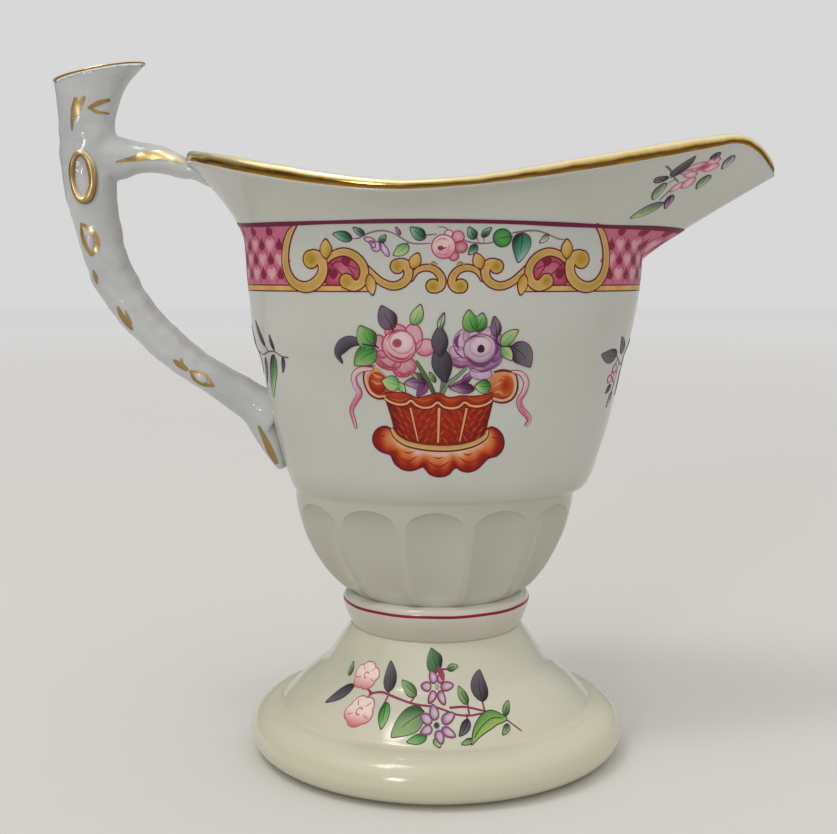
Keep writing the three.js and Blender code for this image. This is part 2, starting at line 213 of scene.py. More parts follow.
def outside(angle, z):
    """The bowl's outer surface at an angle and a height, up to the lip."""
    angle, z = np.broadcast_arrays(np.asarray(angle, float), np.asarray(z, float))
    start, end, lift = flare_span(angle)
    q = np.clip((z - start[..., 2]) / (end[..., 2] - start[..., 2]), 0, 1)
    k = 1 - 2 * lift
    t = (-lift + np.sqrt(lift * lift + k * q)) / k
    return np.where((z > start[..., 2])[..., None], flare(angle, t),
                    wall(angle, np.minimum(z, start[..., 2])))


# ---- Materials ----------------------------------------------------------------------------------

def linear(code):
    """Linear colour of an sRGB hex code."""
    c = np.array([int(code[i:i + 2], 16) for i in (1, 3, 5)]) / 255
    return np.where(c <= 0.04045, c / 12.92, ((c + 0.055) / 1.055) ** 2.4)


class Shader:
    """A principled material and short calls to add nodes to it."""

    def __init__(self, name, **fixed):
        self.material = bpy.data.materials.new(name)
        self.material.use_nodes = True
        self.nodes, self.links = self.material.node_tree.nodes, self.material.node_tree.links
        self.bsdf = self.nodes["Principled BSDF"]
        for socket, value in fixed.items():
            self.bsdf.inputs[socket.replace("_", " ")].default_value = value

    def add(self, kind, wires=(), **values):
        node = self.nodes.new("ShaderNode" + kind)
        for key, value in values.items():
            if hasattr(node, key):
                setattr(node, key, value)
            else:
                node.inputs[key.replace("_", " ")].default_value = value
        for source, socket in wires:
            self.links.new(source, node.inputs[socket])
        return node

    def wire(self, source, socket):
        self.links.new(source, self.bsdf.inputs[socket])

    def noise(self, scale, detail=2.0, place=None):
        place = place or self.add("TexCoord").outputs["Object"]
        return self.add("TexNoise", [(place, "Vector")], Scale=scale, Detail=detail).outputs["Fac"]

    def shades(self, fac, stops):
        ramp = self.add("ValToRGB", [(fac, "Fac")])
        ramp.color_ramp.elements.remove(ramp.color_ramp.elements[0])
        ramp.color_ramp.elements[0].position = stops[0][0]
        ramp.color_ramp.elements[0].color = (*stops[0][1], 1)
        for position, colour in stops[1:]:
            ramp.color_ramp.elements.new(position).color = (*colour, 1)
        return ramp.outputs["Color"]

    def span(self, fac, low, high):
        return self.add("MapRange", [(fac, "Value")], To_Min=low, To_Max=high).outputs["Result"]

    def bump(self, height, strength, distance):
        self.wire(self.add("Bump", [(height, "Height")], Strength=strength,
                           Distance=distance).outputs["Normal"], "Normal")


def glaze(name, thin, thick, ripple=0.0006, low_tint=None, matt=(0.10, 0.2)):
    """Glaze that pools greener and greyer in places, and ripples. A low tint is a height and a colour: below
    that height the glaze turns to that colour.
    """
    m = Shader(name, IOR=1.48, Coat_Weight=0.12, Coat_Roughness=0.05)
    place = m.add("TexCoord").outputs["Object"]
    colour = m.shades(
        m.noise(38.0, 3.0, place), [(0.34, thick), (0.5, mix(thick, thin, 0.6)), (0.68, thin)])
    if low_tint:
        height = m.add("SeparateXYZ", [(place, "Vector")]).outputs["Z"]
        waves = m.span(m.noise(90.0, 2.0, place), -0.0015, 0.0015)
        wavy = m.add("Math", [(height, 0), (waves, 1)], operation="ADD").outputs[0]
        share = m.add("MapRange", [(wavy, "Value")], interpolation_type="SMOOTHSTEP")
        share.inputs["From Min"].default_value = (low_tint[0] + LOW_TINT_BLEND) * MM
        share.inputs["From Max"].default_value = (low_tint[0] - LOW_TINT_BLEND) * MM
        blend = m.add("Mix", [(share.outputs["Result"], "Factor")], data_type="RGBA")
        m.links.new(colour, blend.inputs[6])
        blend.inputs[7].default_value = (*low_tint[1], 1)
        colour = blend.outputs[2]
    m.wire(colour, "Base Color")
    m.wire(m.span(m.noise(300.0), *matt), "Roughness")
    m.bump(m.noise(170.0, 4.0), 0.16, ripple)
    return m.material


def enamel():
    """Overglaze colour: laid in brush strokes, glossy, and thicker in some places than in others."""
    m = Shader("enamel_paint", IOR=1.5, Specular_IOR_Level=0.16)
    paint = m.add("Attribute", attribute_name="pigment").outputs["Color"]
    shade = m.span(m.noise(900.0, 3.0), 0.84, 1.14)
    grey = m.add("CombineColor", [(shade, "Red"), (shade, "Green"), (shade, "Blue")]).outputs["Color"]
    blend = m.add("Mix", data_type="RGBA", blend_type="MULTIPLY")
    blend.inputs["Factor"].default_value = 1.0
    m.links.new(paint, blend.inputs[6])
    m.links.new(grey, blend.inputs[7])
    m.wire(blend.outputs[2], "Base Color")
    m.wire(m.span(m.noise(1500.0), 0.22, 0.42), "Roughness")
    m.bump(m.noise(1300.0, 2.0), 0.2, 0.0001)
    return m.material


def gilding(name, stops, low, high, unevenness=0.22):
    """Gold leaf. Its colour is painted reflection and shade by facing: it runs from surfaces that face down
    to surfaces that face up, nudged a little at random.
    """
    m = Shader(name, Metallic=1.0)
    normal = m.add("NewGeometry").outputs["Normal"]
    upward = m.add("SeparateXYZ", [(normal, "Vector")]).outputs["Z"]
    drift = m.span(m.noise(260.0, 3.0), -unevenness, unevenness)
    facing_with_drift = m.add("Math", [(upward, 0), (drift, 1)], operation="ADD").outputs[0]
    share = m.add("MapRange", [(facing_with_drift, "Value")], From_Min=-1.0, From_Max=1.0).outputs["Result"]
    # Painted reflection and shade: the colour stops run from dark where the surface faces down to pale cream
    # where it faces up.
    m.wire(m.shades(share, [(place, linear(code)) for place, code in stops]), "Base Color")
    m.wire(m.span(m.noise(500.0, 2.0), low, high), "Roughness")
    m.bump(m.noise(260.0, 2.0), 0.12, 0.0003)
    return m.material


BODY_THIN, BODY_THICK = (0.56, 0.568, 0.52), (0.50, 0.508, 0.46)
# Below a height the body's glaze turns darker and yellower, and the foot's glaze yellower.
BODY_LOW_TINT = (0.48, 0.47, 0.39)
HANDLE_THIN, HANDLE_THICK = (0.585, 0.595, 0.59), (0.455, 0.47, 0.48)
FOOT_THIN, FOOT_THICK, FOOT_LOW_TINT = (0.64, 0.62, 0.50), (0.545, 0.53, 0.41), (0.64, 0.615, 0.46)
COLLAR_THIN, COLLAR_THICK = (0.62, 0.595, 0.51), (0.545, 0.525, 0.435)
LOW_TINT_HEIGHT, FOOT_LOW_TINT_HEIGHT, LOW_TINT_BLEND = 50.0, 10.0, 5.0

GLAZE = glaze("porcelain_glaze", BODY_THIN, BODY_THICK, low_tint=(LOW_TINT_HEIGHT, BODY_LOW_TINT))
HANDLE_GLAZE = glaze("handle_glaze", HANDLE_THIN, HANDLE_THICK, ripple=0.0036, matt=(0.04, 0.09))
COLLAR_GLAZE = glaze("collar_glaze", COLLAR_THIN, COLLAR_THICK)
FOOT_GLAZE = glaze("foot_glaze", FOOT_THIN, FOOT_THICK, ripple=0.0003, low_tint=(FOOT_LOW_TINT_HEIGHT, FOOT_LOW_TINT))
ENAMEL = enamel()
# Both gildings' stops are painted reflection and shade from facing down (0) to facing up (1): the burnished
# gold has a painted dark streak just below level, and both have painted pale highlights where they face up.
GOLD = gilding("burnished_gilding", [(0.0, "#b08a45"), (0.28, "#b48d48"), (0.42, "#745019"),
                                     (0.5, "#8a6428"), (0.58, "#dcbb6c"),
                                     (0.78, "#fbeebf")], 0.1, 0.2)
WORN_GOLD = gilding("worn_gilding", [(0.0, "#8d7547"), (0.4, "#a88d5c"), (0.56, "#ccb07a"),
                                     (0.8, "#f0dfb4")], 0.22, 0.42, 0.55)


# ---- Making meshes ------------------------------------------------------------------------------

def to_frame(points):
    """Metres in the part's frame, from millimetres about the foot's axis."""
    return (np.asarray(points, float).reshape(-1, 3) + (FOOT_AXIS_X, 0, 0)) * MM


def piece(name, points, faces, material, slot, *nodes):
    """A smooth glazed or painted piece, which stands for the CAD nodes named."""
    mesh = bpy.data.meshes.new(name)
    mesh.from_pydata(to_frame(points).tolist(), [], faces)
    mesh.validate()
    mesh.shade_smooth()
    mesh.materials.append(material)
    made = bpy.data.objects.new(name, mesh)
    bpy.context.collection.objects.link(made)
    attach(made, "root")
    if nodes:
        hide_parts(*nodes)
    return made


def skin(rings, closed=False):
    """Points and faces over rings of equally many points; unless it closes on itself, its ends are capped."""
    rings = np.asarray(rings, float)
    count, sides = rings.shape[:2]
    i, j = np.meshgrid(np.arange(count if closed else count - 1), np.arange(sides), indexing="ij")
    k, m = (i + 1) % count, (j + 1) % sides
    quads = np.stack(
        [i * sides + j, i * sides + m, k * sides + m, k * sides + j], -1).reshape(-1, 4).tolist()
    points = rings.reshape(-1, 3)
    if not closed:
        hub = len(points)
        points = np.vstack([points, rings[0].mean(0), rings[-1].mean(0)])
        last = (count - 1) * sides
        quads += [(hub, (j + 1) % sides, j) for j in range(sides)]
        quads += [(hub + 1, last + j, last + (j + 1) % sides) for j in range(sides)]
    return points, quads


def hoop(path, axis, radius, sides=16, tall=1.0):
    """A wire along a closed path that goes round an axis; tall is its height by its width."""
    path = np.asarray(path, float)
    along = np.roll(path, -1, 0) - np.roll(path, 1, 0)
    along /= np.linalg.norm(along, axis=1)[:, None]
    side = np.cross(along, axis)
    side /= np.linalg.norm(side, axis=1)[:, None]
    other = np.cross(along, side)
    a = np.linspace(0, TAU, sides, endpoint=False)[None, :, None]
    radius, tall = (np.broadcast_to(value, len(path))[:, None, None] for value in (radius, tall))
    return skin(path[:, None] + radius * (side[:, None] * np.cos(a) + tall * other[:, None] * np.sin(a)),
                closed=True)


# ---- Bowl ---------------------------------------------------------------------------------------

# Places across half a flute, from its middle to the ridge; they crowd at the crisp edge.
HALF_FLUTE = np.array([0, 0.14, 0.28, 0.42, 0.55, 0.66, 0.75, 0.81, 0.85, FLUTE_EDGE, 0.91, 0.955, 1.0])
FLUTE_HEAD = 2.6  # how far down from its arch a flute takes to reach its full depth
STEP_LOW, STEP_HIGH, WALL_HIGH = 48.2, 54.0, 84.0  # rings are closest between the first two, round the step
FLOOR_BEND, FLOOR_INSET = 38.5, 12.0


def bowl_columns():
    """Each column's turn round the bowl, and how far it is across its flute."""
    across = np.concatenate([HALF_FLUTE[:-1], -HALF_FLUTE[:0:-1]])
    across = np.concatenate([across[12:], across[:12]])
    whole = np.arange(FLUTES)[:, None] + across[None, :] / 2
    return turn(whole.ravel() * TAU / FLUTES), np.tile(np.abs(across), FLUTES)


def bowl_rings():
    angle, across = bowl_columns()
    inside_arch = np.clip(across / FLUTE_EDGE, 0, 1)
    arch = FLUTE_SPRING + (FLUTE_CROWN - FLUTE_SPRING) * np.sqrt(1 - inside_arch ** 2)
    rings = []
    for z in np.linspace(COLLAR_TOP - 0.1, FLUTE_BOTTOM, 3)[:-1]:
        rings.append(wall(angle, np.full_like(angle, z)))
    for v in 1 - np.linspace(1, 0, 44) ** 1.7:
        z = FLUTE_BOTTOM + (arch - FLUTE_BOTTOM) * v
        lift = 1 - np.clip(1 - (arch - z) / FLUTE_HEAD, 0, 1) ** 2
        fade_in = smoothstep(z, FLUTE_BOTTOM - 1.2, FLUTE_BOTTOM + 2.4)
        cut = FLUTE_DEPTH * (1 - inside_arch ** 2) * fade_in * np.sqrt(lift)
        rings.append(wall(angle, z, cut))
    for v in np.linspace(0, 1, 10)[1:]:
        rings.append(wall(angle, arch + (STEP_LOW - arch) * v))
    for z in np.concatenate([np.linspace(STEP_LOW, STEP_HIGH, 24)[1:],
                             np.linspace(STEP_HIGH, WALL_HIGH, 22)[1:]]):
        rings.append(wall(angle, np.full_like(angle, z)))
    start = flare_span(angle)[0][..., 2]
    for v in np.linspace(0, 1, 9)[1:-1]:
        rings.append(wall(angle, WALL_HIGH + (start - WALL_HIGH) * v))
    rings += [flare(angle, t) for t in np.linspace(0, 1, 30)]
    rings.append(lip(angle, 0.5, LIP_BEAD * 0.4))
    rings.append(lip(angle, -0.5, LIP_BEAD * 0.4))
    rings += [flare(angle, t, inset=WALL, shift=-LIP_THICKNESS / 2) for t in np.linspace(1, 0, 24)]
    start = flare_span(angle, inset=WALL)[0][..., 2]
    for v in np.linspace(0, 1, 8)[1:]:
        rings.append(wall(angle, start + (WALL_HIGH - start) * v, WALL))
    for z in np.linspace(WALL_HIGH, FLOOR_BEND, 26)[1:]:
        rings.append(wall(angle, np.full_like(angle, z), WALL))
    for share in np.linspace(0, 1, 7)[1:]:
        z = FLOOR_BEND - (FLOOR_BEND - WALL_FLOOR) * math.sin(share * math.pi / 2)
        inset = WALL + FLOOR_INSET * (1 - math.cos(share * math.pi / 2))
        rings.append(wall(angle, np.full_like(angle, z), inset))
    return rings


piece("bowl_glazed", *skin(bowl_rings()), GLAZE, "porcelain_glaze", "bowl")

# The gilding of the lip stands tallest half way up each rise, and thins at the saddle, the beak and the back.
bead_angle = bowl_columns()[0]
bead = lip(bead_angle)
SWELL_X = [LIP_BACK, -35.0, -25.0, -8.0, 6.0, 22.0, 40.0, 52.0, LIP_TIP]
swell = np.interp(bead[:, 0], SWELL_X, [0.25, 0.9, 1.0, 0.25, 0.0, 0.8, 1.0, 0.35, 0.6])
bead[:, 2] += 0.42 * swell - 0.14
piece("lip_gilding", *hoop(bead, (0, 0, 1), LIP_BEAD, 24, 1.15 + 0.5 * swell), GOLD, "gilding",
      "gilt_lip_bead")


# ---- Collar and foot ----------------------------------------------------------------------------

def lathe(profile, sides=216):
    a = np.linspace(0, TAU, sides, endpoint=False)
    return [np.stack([r * np.cos(a), r * np.sin(a), z + 0 * a], -1) for r, z in profile]


collar_profile = np.vstack([COLLAR[0], curve(COLLAR[1:-1], 40), COLLAR[-1]])
piece("collar_glazed", *skin(lathe(collar_profile)), COLLAR_GLAZE, "porcelain_glaze", "foot_collar")

foot_outer = curve(FOOT_BEAD + FOOT_OUTSIDE, 150)
foot_profile = np.vstack([curve(FOOT_INSIDE, 40)[::-1], foot_outer, (8.0, FOOT_TOP), (0.5, FOOT_TOP)])
piece("foot_glazed", *skin(lathe(foot_profile)), FOOT_GLAZE, "foot_glaze", "pedestal_foot")


# ---- Handle -------------------------------------------------------------------------------------

VOXEL = 0.32


def stem(stations, steps, sides=40, slant=0.0):
    """Oval rings along a stem in the plane of the handle; a slanted one turns its rings as it rises."""
    x, z, u, v = curve(stations, steps).T
    dx, dz = np.gradient(x), np.gradient(z)
    size = np.hypot(dx, dz)
    across = np.stack([dz / size, 0 * x, -dx / size], -1)
    if slant:
        lean = np.linspace(0, slant, steps)
        across = np.stack([np.cos(lean), 0 * x, np.sin(lean)], -1)
    a = np.linspace(0, TAU, sides, endpoint=False)[None, :, None]
    centre = np.stack([x, 0 * x, z], -1)[:, None]
    in_plane = across[:, None] * u[:, None, None] * np.cos(a)
    return centre + in_plane + np.array([0, 1, 0]) * v[:, None, None] * np.sin(a)


def horn_rings():
    """The horn and the shallow dish of its cut end."""
    rings = stem(HORN, 40, slant=HORN_SLANT)
    edge, centre = rings[-1], rings[-1].mean(0)
    dish = [centre + (edge - centre) * share - (0, 0, 1.1 * (1 - share ** 2))
            for share in (0.9, 0.75, 0.55, 0.3, 0.1)]
    return np.concatenate([rings, dish])


def merged(parts):
    points, faces = [], []
    for rings in parts:
        p, f = skin(rings)
        start = sum(map(len, points))
        points.append(p)
        faces += [tuple(start + i for i in face) for face in f]
    return np.vstack(points), faces


def fused(points, faces):
    """One skin round overlapping stems, softened where they meet as thick glaze softens them."""
    mesh = bpy.data.meshes.new("stems")
    mesh.from_pydata(np.asarray(points).tolist(), [], faces)
    rough = bpy.data.objects.new("stems", mesh)
    bpy.context.collection.objects.link(rough)
    remesh = rough.modifiers.new("fuse", "REMESH")
    remesh.mode, remesh.voxel_size = "VOXEL", VOXEL
    soften = rough.modifiers.new("soften", "SMOOTH")
    soften.factor, soften.iterations = 0.6, 26
    done = bpy.data.meshes.new_from_object(rough.evaluated_get(bpy.context.evaluated_depsgraph_get()))
    bpy.data.objects.remove(rough)
    co, no = np.empty(len(done.vertices) * 3), np.empty(len(done.vertices) * 3)
    done.vertices.foreach_get("co", co)
    done.vertices.foreach_get("normal", no)
    made = co.reshape(-1, 3), no.reshape(-1, 3), [tuple(p.vertices) for p in done.polygons]
    bpy.data.meshes.remove(done)
    return made


def lumps(points):
    """How far the bark swells: soft lumps, the same on both faces so that the gilding fits both."""
    points = np.column_stack([points[:, 0], -np.sqrt(points[:, 1] ** 2 + 1), points[:, 2]])
    swell = [
        0.3 * noise.noise(Vector(point) * 0.16) + 0.26 * noise.noise(
            Vector(point) * 0.37 + Vector((9, 4, 2))) for point in points.tolist()]
    return np.array(swell)


handle_points, handle_normals, handle_faces = fused(*merged([
    stem(BRANCH, 90), stem(BRIDGE, 50), stem(TAIL, 36), horn_rings()]))
fade = np.clip((-32.0 - handle_points[:, 0]) / 5, 0, 1) * np.clip((121.0 - handle_points[:, 2]) / 6, 0, 1)
handle_points = handle_points + handle_normals * (lumps(handle_points) * fade)[:, None]
piece("handle_glazed", handle_points, handle_faces, HANDLE_GLAZE, "porcelain_glaze",
      "handle_branch", "handle_bridge", "handle_tail", "handle_horn")
handle_tree = BVHTree.FromPolygons(handle_points.tolist(), handle_faces)

horn_edge = stem(HORN, 40, 96, slant=HORN_SLANT)[-1]
horn_middle = horn_edge.mean(0)
rim_line = horn_middle + (horn_edge - horn_middle) * 0.965 + (0, 0, 0.12)
piece("horn_gilding", *hoop(rim_line, (0, 0, 1), HORN_RIM * 0.6, 12, 0.7), GOLD, "gilding", "horn_gilt_rim")


def on_handle(x, z, side, depth=20.0):
    """The handle's surface and normal where a line across it at (x, z) meets its near or far face."""
    hit = handle_tree.ray_cast(Vector((x, side * depth, z)), Vector((0, -side, 0)))
    if hit[0] is None:
        hit = handle_tree.find_nearest(Vector((x, side * 3.0, z)))
    return np.array(hit[0]), np.array(hit[1])


for face, side in (("near", -1), ("far", 1)):
    a = np.linspace(0, TAU, 72, endpoint=False)
    ring = np.stack([KNOT_X + KNOT_HALF_WIDTH * np.cos(a) - 0.25 * np.sin(a), 0 * a,
                     KNOT_Z + KNOT_HALF_HEIGHT * np.sin(a)], -1)
    for point in ring:
        point[1] = on_handle(point[0], point[2], side)[0][1] + side * 0.2
    ring[:, 1] = np.convolve(np.concatenate([ring[-4:, 1], ring[:, 1], ring[:4, 1]]), np.ones(9) / 9,
                             "valid")
    wire = KNOT_WIRE * (0.95 + 0.22 * np.cos(a + 0.5) + 0.07 * np.sin(5 * a))
    piece(f"knot_hoop_gilt_{face}", *hoop(ring, (0, 1, 0), wire), WORN_GOLD, "gilding", f"knot_hoop_{face}")
    boss = [np.stack([KNOT_X + (KNOT_HALF_WIDTH - 0.45) * math.sin(t) * np.cos(a),
                      side * (KNOT_PROUD - 0.75 - 1.05 * math.cos(t)) + 0 * a,
                      KNOT_Z + (KNOT_HALF_HEIGHT - 0.5) * math.sin(t) * np.sin(a)], -1)
            for t in np.linspace(0.05, math.pi - 0.05, 24)]
    boss = boss if side > 0 else boss[::-1]
    piece(f"knot_boss_glazed_{face}", *skin(boss), HANDLE_GLAZE, "porcelain_glaze", f"knot_boss_{face}")


# ---- Enamel painting ----------------------------------------------------------------------------

LAYOUT_Z = 85.0  # the body's decoration is laid out in millimetres round its section at this height
LAYOUT_FOOT = 22.0  # and the foot's round this radius
FIRST_COAT, NEXT_COAT, UNDER = 0.03, 0.007, 0.02
PAINT = 1.42  # pigments are named by their shade on the shaded side of the jug

PINK, MAROON, VIOLET, GREEN = "enamel_pink", "enamel_maroon", "enamel_violet", "enamel_green"
DARK, RED, OCHRE = "enamel_dark_leaf", "enamel_red", "enamel_ochre"

ochre, ochre_pale, ochre_deep, brown = map(linear, ("#ab8a44", "#b4935c", "#8f7024", "#571a26"))
maroon, dart_red, magenta, crimson = map(linear, ("#5a1a36", "#6c1c32", "#8c3a54", "#84182c"))
pink, heart_pink = map(linear, ("#a85a6e", "#b98a95"))
teal_dark, teal, teal_pale = map(linear, ("#1a2c26", "#33705a", "#7b948b"))
green_dark, green, green_pale = map(linear, ("#244a22", "#4a8640", "#93a874"))
stem_grey, soot, soot_dark = map(linear, ("#6f5d69", "#56525a", "#28242a"))
violet_pale, violet, violet_deep, violet_dark = map(linear, ("#b7a4ae", "#97738f", "#6b3a66", "#341a30"))
rose_pale, rose, rose_deep, rose_eye = map(linear, ("#bfaaa8", "#b06a80", "#94384f", "#8a2f44"))
red_dark, red, orange, cream = map(linear, ("#5a0e0a", "#8e1f0e", "#b3602a", "#bf9772"))
salmon_pale, salmon = map(linear, ("#cdbab0", "#bb6468"))


def layout_table():
    angle = np.linspace(-math.pi / 2 - math.pi, -math.pi / 2 + math.pi, 1441)
    ring = wall(angle, np.full_like(angle, LAYOUT_Z))
    s = np.concatenate([[0], np.cumsum(np.linalg.norm(np.diff(ring, axis=0), axis=1))])
    return s - s[len(s) // 2], angle


S_TABLE, ANGLE_TABLE = layout_table()
SEAM = S_TABLE[-1] / 2  # how far it is from the near side's middle to the spout, and to the handle


def on_body(s, z):
    return outside(np.interp(s, S_TABLE, ANGLE_TABLE), z)


def on_foot(s, z):
    outer = foot_outer[np.argmax(foot_outer[:, 0]):]
    r = np.interp(z, outer[:, 1], outer[:, 0])
    a = -math.pi / 2 + s / LAYOUT_FOOT
    return np.stack([r * np.cos(a), r * np.sin(a), z], -1)


def on_branch(x, z):
    """The near face of the handle, laid out in its own plane."""
    hits = [on_handle(px, pz, -1)[0] for px, pz in zip(np.ravel(x), np.ravel(z))]
    return np.array(hits).reshape(*np.shape(x), 3)


class Painting:
    """Thin slabs of colour on a surface, gathered into one piece for each enamel on each face."""

    def __init__(self, name, surface, probe=0.05):
        self.name, self.surface, self.probe, self.coats = name, surface, probe, {}

    def lay(self, enamel_slot, grid, colours, level):
        """A slab whose top is the grid of places."""
        s, z = np.asarray(grid, float)[..., :2].transpose(2, 0, 1)
        d = self.probe
        at = self.surface(s, z)
        normal = np.cross(self.surface(s + d, z) - self.surface(s - d, z),
                          self.surface(s, z + d) - self.surface(s, z - d))
        normal /= np.linalg.norm(normal, axis=-1)[..., None]
        rows, columns = s.shape
        i, j = np.meshgrid(np.arange(rows - 1), np.arange(columns - 1), indexing="ij")
        quads = np.stack([i * columns + j, i * columns + j + 1, (i + 1) * columns + j + 1,
                          (i + 1) * columns + j], -1)
        quads = quads.reshape(-1, 4)
        area = np.cross(np.diff(np.stack([s, z], -1), axis=1)[:-1],
                        np.diff(np.stack([s, z], -1), axis=0)[:, :-1]).sum()
        rim = np.concatenate([np.arange(columns), columns * np.arange(1, rows) + columns - 1,
                              columns * (rows - 1) + np.arange(columns - 1)[::-1],
                              columns * np.arange(1, rows - 1)[::-1]])
        below = rows * columns
        after = np.roll(rim, -1)
        sides = np.stack([rim, rim + below, after + below, after], -1)
        faces = np.concatenate([quads, quads[:, ::-1] + below, sides])
        if area < 0:
            faces = faces[:, ::-1]
        top = (at + normal * (FIRST_COAT + NEXT_COAT * level)).reshape(-1, 3)
        points = np.concatenate([top, (at - normal * UNDER).reshape(-1, 3)])
        colours = np.broadcast_to(colours, (*s.shape, 3)).reshape(-1, 3)
        normals = normal.reshape(-1, 3)
        self.coats.setdefault(enamel_slot, []).append(
            (points, np.tile(normals, (2, 1)), np.tile(colours, (2, 1)), faces))

    def done(self, faces_of_jug=(("near", 1), ("far", -1)), material=None):
        for enamel_slot, coats in self.coats.items():
            starts = np.cumsum([0] + [len(c[0]) for c in coats])
            points, normals, colours = (np.concatenate([c[k] for c in coats]) for k in range(3))
            quads = np.concatenate([c[3] + start for c, start in zip(coats, starts)])
            for face, mirror in faces_of_jug:
                flip = np.array([1, mirror, 1])
                name = f"{self.name}_{enamel_slot.replace('enamel_', '')}_{face}"
                turned = (quads if mirror > 0 else quads[:, ::-1]).tolist()
                made = piece(name, points * flip, turned, material or ENAMEL, enamel_slot)
                mesh = made.data
                mesh.normals_split_custom_set_from_vertices((normals * flip).tolist())
                pigment = mesh.attributes.new("pigment", "FLOAT_COLOR", "POINT")
                rgba = np.column_stack([np.clip(colours * PAINT, 0, 0.9), np.ones(len(colours))])
                pigment.data.foreach_set("color", rgba.ravel().astype(np.float32))


def shaded(colour, across, along):
    """A flat colour, or one that changes along a stroke (a pair) or along and across it (a function)."""
    if callable(colour):
        return colour(along, across)
    if isinstance(colour, tuple):
        return mix(colour[0], colour[1], along)
    return np.asarray(colour)


def stroke(p, slot_name, places, colour, level, steps=None):
    """A brush stroke with round ends. Each place is (s, z, half width)."""
    places = np.array(places, float)
    length = np.linalg.norm(np.diff(places[:, :2], axis=0), axis=1).sum()
    steps = steps or int(np.clip(length / 0.32, 8, 260))
    s, z, half = curve(places, steps).T
    along = np.stack([np.gradient(s), np.gradient(z)], -1)
    along /= np.maximum(np.linalg.norm(along, axis=1), 1e-9)[:, None]
    tip = np.array([1.0, 0.92, 0.71, 0.38])
    back = np.sqrt(1 - tip ** 2)
    start = [((s[0], z[0]) - along[0] * half[0] * b, half[0] * t, along[0]) for t,
             b in zip(tip[:0:-1], back[:0:-1])]
    middle = [((s[i], z[i]), half[i], along[i]) for i in range(steps)]
    end = [((s[-1], z[-1]) + along[-1] * half[-1] * b, half[-1] * t, along[-1]) for t,
           b in zip(tip[1:], back[1:])]
    centre, half, along = (np.array([row[k] for row in start + middle + end], float) for k in range(3))
    across = np.linspace(-1, 1, 5)
    side = np.stack([-along[:, 1], along[:, 0]], -1)
    grid = centre[:, None] + side[:, None] * (half[:, None] * across)[..., None]
    share = np.broadcast_to(np.linspace(0, 1, len(centre))[:, None], grid.shape[:2])
    p.lay(slot_name, grid, shaded(colour, np.broadcast_to(across, grid.shape[:2]), share), level)


def edged_stroke(p, edge_slot, edge, edge_colour, slot_name, places, colour, level):
    """A stroke laid over a wider one, which shows round it as an edge."""
    stroke(p, edge_slot, [(s, z, half + edge) for s, z, half in places], edge_colour, level)
    stroke(p, slot_name, places, colour, level + 1)


def blob(p, slot_name, edge, colour, level, centre=None, rim=None, rim_half=0.1, rings=6, steps=44):
    """A filled round shape, in a colour, a pair from its middle to its edge, or a function of (r, x, z)."""
    edge = curve(edge, steps, closed=True)
    edge = np.vstack([edge, edge[:1]])
    centre = edge[:-1].mean(0) if centre is None else np.array(centre, float)
    r = np.concatenate([[0.015], np.linspace(0, 1, rings + 1)[1:]])[:, None, None]
    grid = centre + (edge - centre)[None] * r
    reach = (edge - centre) / np.abs(edge - centre).max()
    if callable(colour):
        colours = colour(np.broadcast_to(r[..., 0], grid.shape[:2]), *(reach[None] * r).transpose(2, 0, 1))
    elif isinstance(colour, tuple):
        colours = mix(colour[0], colour[1], np.broadcast_to(r[..., 0] ** 1.6, grid.shape[:2]))
    else:
        colours = np.asarray(colour)
    p.lay(slot_name, grid, colours, level)
    if rim is not None:
        stroke_edge = np.column_stack([edge, np.full(len(edge), rim_half)])
        stroke(p, rim[0], stroke_edge, rim[1], level + 0.5, steps=steps + 1)


def oval(centre, rx, rz, tilt=0.0, count=12, pinch=0.0):
    a = np.linspace(0, TAU, count, endpoint=False)
    x, z = rx * np.cos(a), rz * np.sin(a) * (1 - pinch * np.cos(a))
    c, d = math.cos(math.radians(tilt)), math.sin(math.radians(tilt))
    return np.stack([centre[0] + x * c - z * d, centre[1] + x * d + z * c], -1)


def leaf(p, base, tip, half, shades, level, bend=0.0, slot_name=GREEN, rim=brown, rim_half=0.15, full=0.75,
         rib=True):
    """A leaf from its base to its tip; shades are dark, middle and pale."""
    base, tip = np.array(base, float), np.array(tip, float)
    side = np.array([base[1] - tip[1], tip[0] - base[0]])
    side /= np.linalg.norm(side)
    middle = (base + tip) / 2 + side * bend
    t = np.linspace(0, 1, 17)[:, None]
    axis = base * (1 - t) ** 2 + 2 * middle * t * (1 - t) + tip * t * t
    along = np.gradient(axis, axis=0)
    along /= np.linalg.norm(along, axis=1)[:, None]
    out = np.stack([-along[:, 1], along[:, 0]], -1)
    across = np.linspace(-1, 1, 9)
    width = np.sin(math.pi * t[:, 0] ** full) ** 0.8

    def shape(grow):
        stretched = axis + along * (np.linspace(-1, 1, 17)[:, None] ** 3) * grow
        return stretched[:, None] + out[:, None] * (
            (half * width + grow * 0.9)[:, None] * across)[..., None]

    if rim is not None:
        p.lay(DARK, shape(rim_half), rim, level)
    t_grid, v = np.broadcast_to(t, (17, 9)), np.broadcast_to(across, (17, 9))
    tone = np.clip(0.25 + 0.75 * t_grid + 0.32 * v - 0.35 * (1 - t_grid) * np.abs(v), 0, 1)
    colours = np.where((tone < 0.5)[..., None], mix(shades[0], shades[1], tone * 2),
                       mix(shades[1], shades[2], tone * 2 - 1))
    p.lay(slot_name, shape(0.0), colours, level + 1)
    if rib:
        spine = np.column_stack([axis[1:13:2], np.linspace(0.1, 0.04, 6)])
        stroke(p, DARK, spine, shades[0], level + 1.6, steps=10)


TEALS = (teal_dark, teal, teal_pale)
GREENS = (green_dark, green, mix(green, green_pale, 0.55))
PALES = (green, mix(green, green_pale, 0.7), green_pale)
SOOTS = (soot_dark, soot, mix(soot, stem_grey, 0.5))


# ---- The band round the shoulder ----------------------------------------------------------------

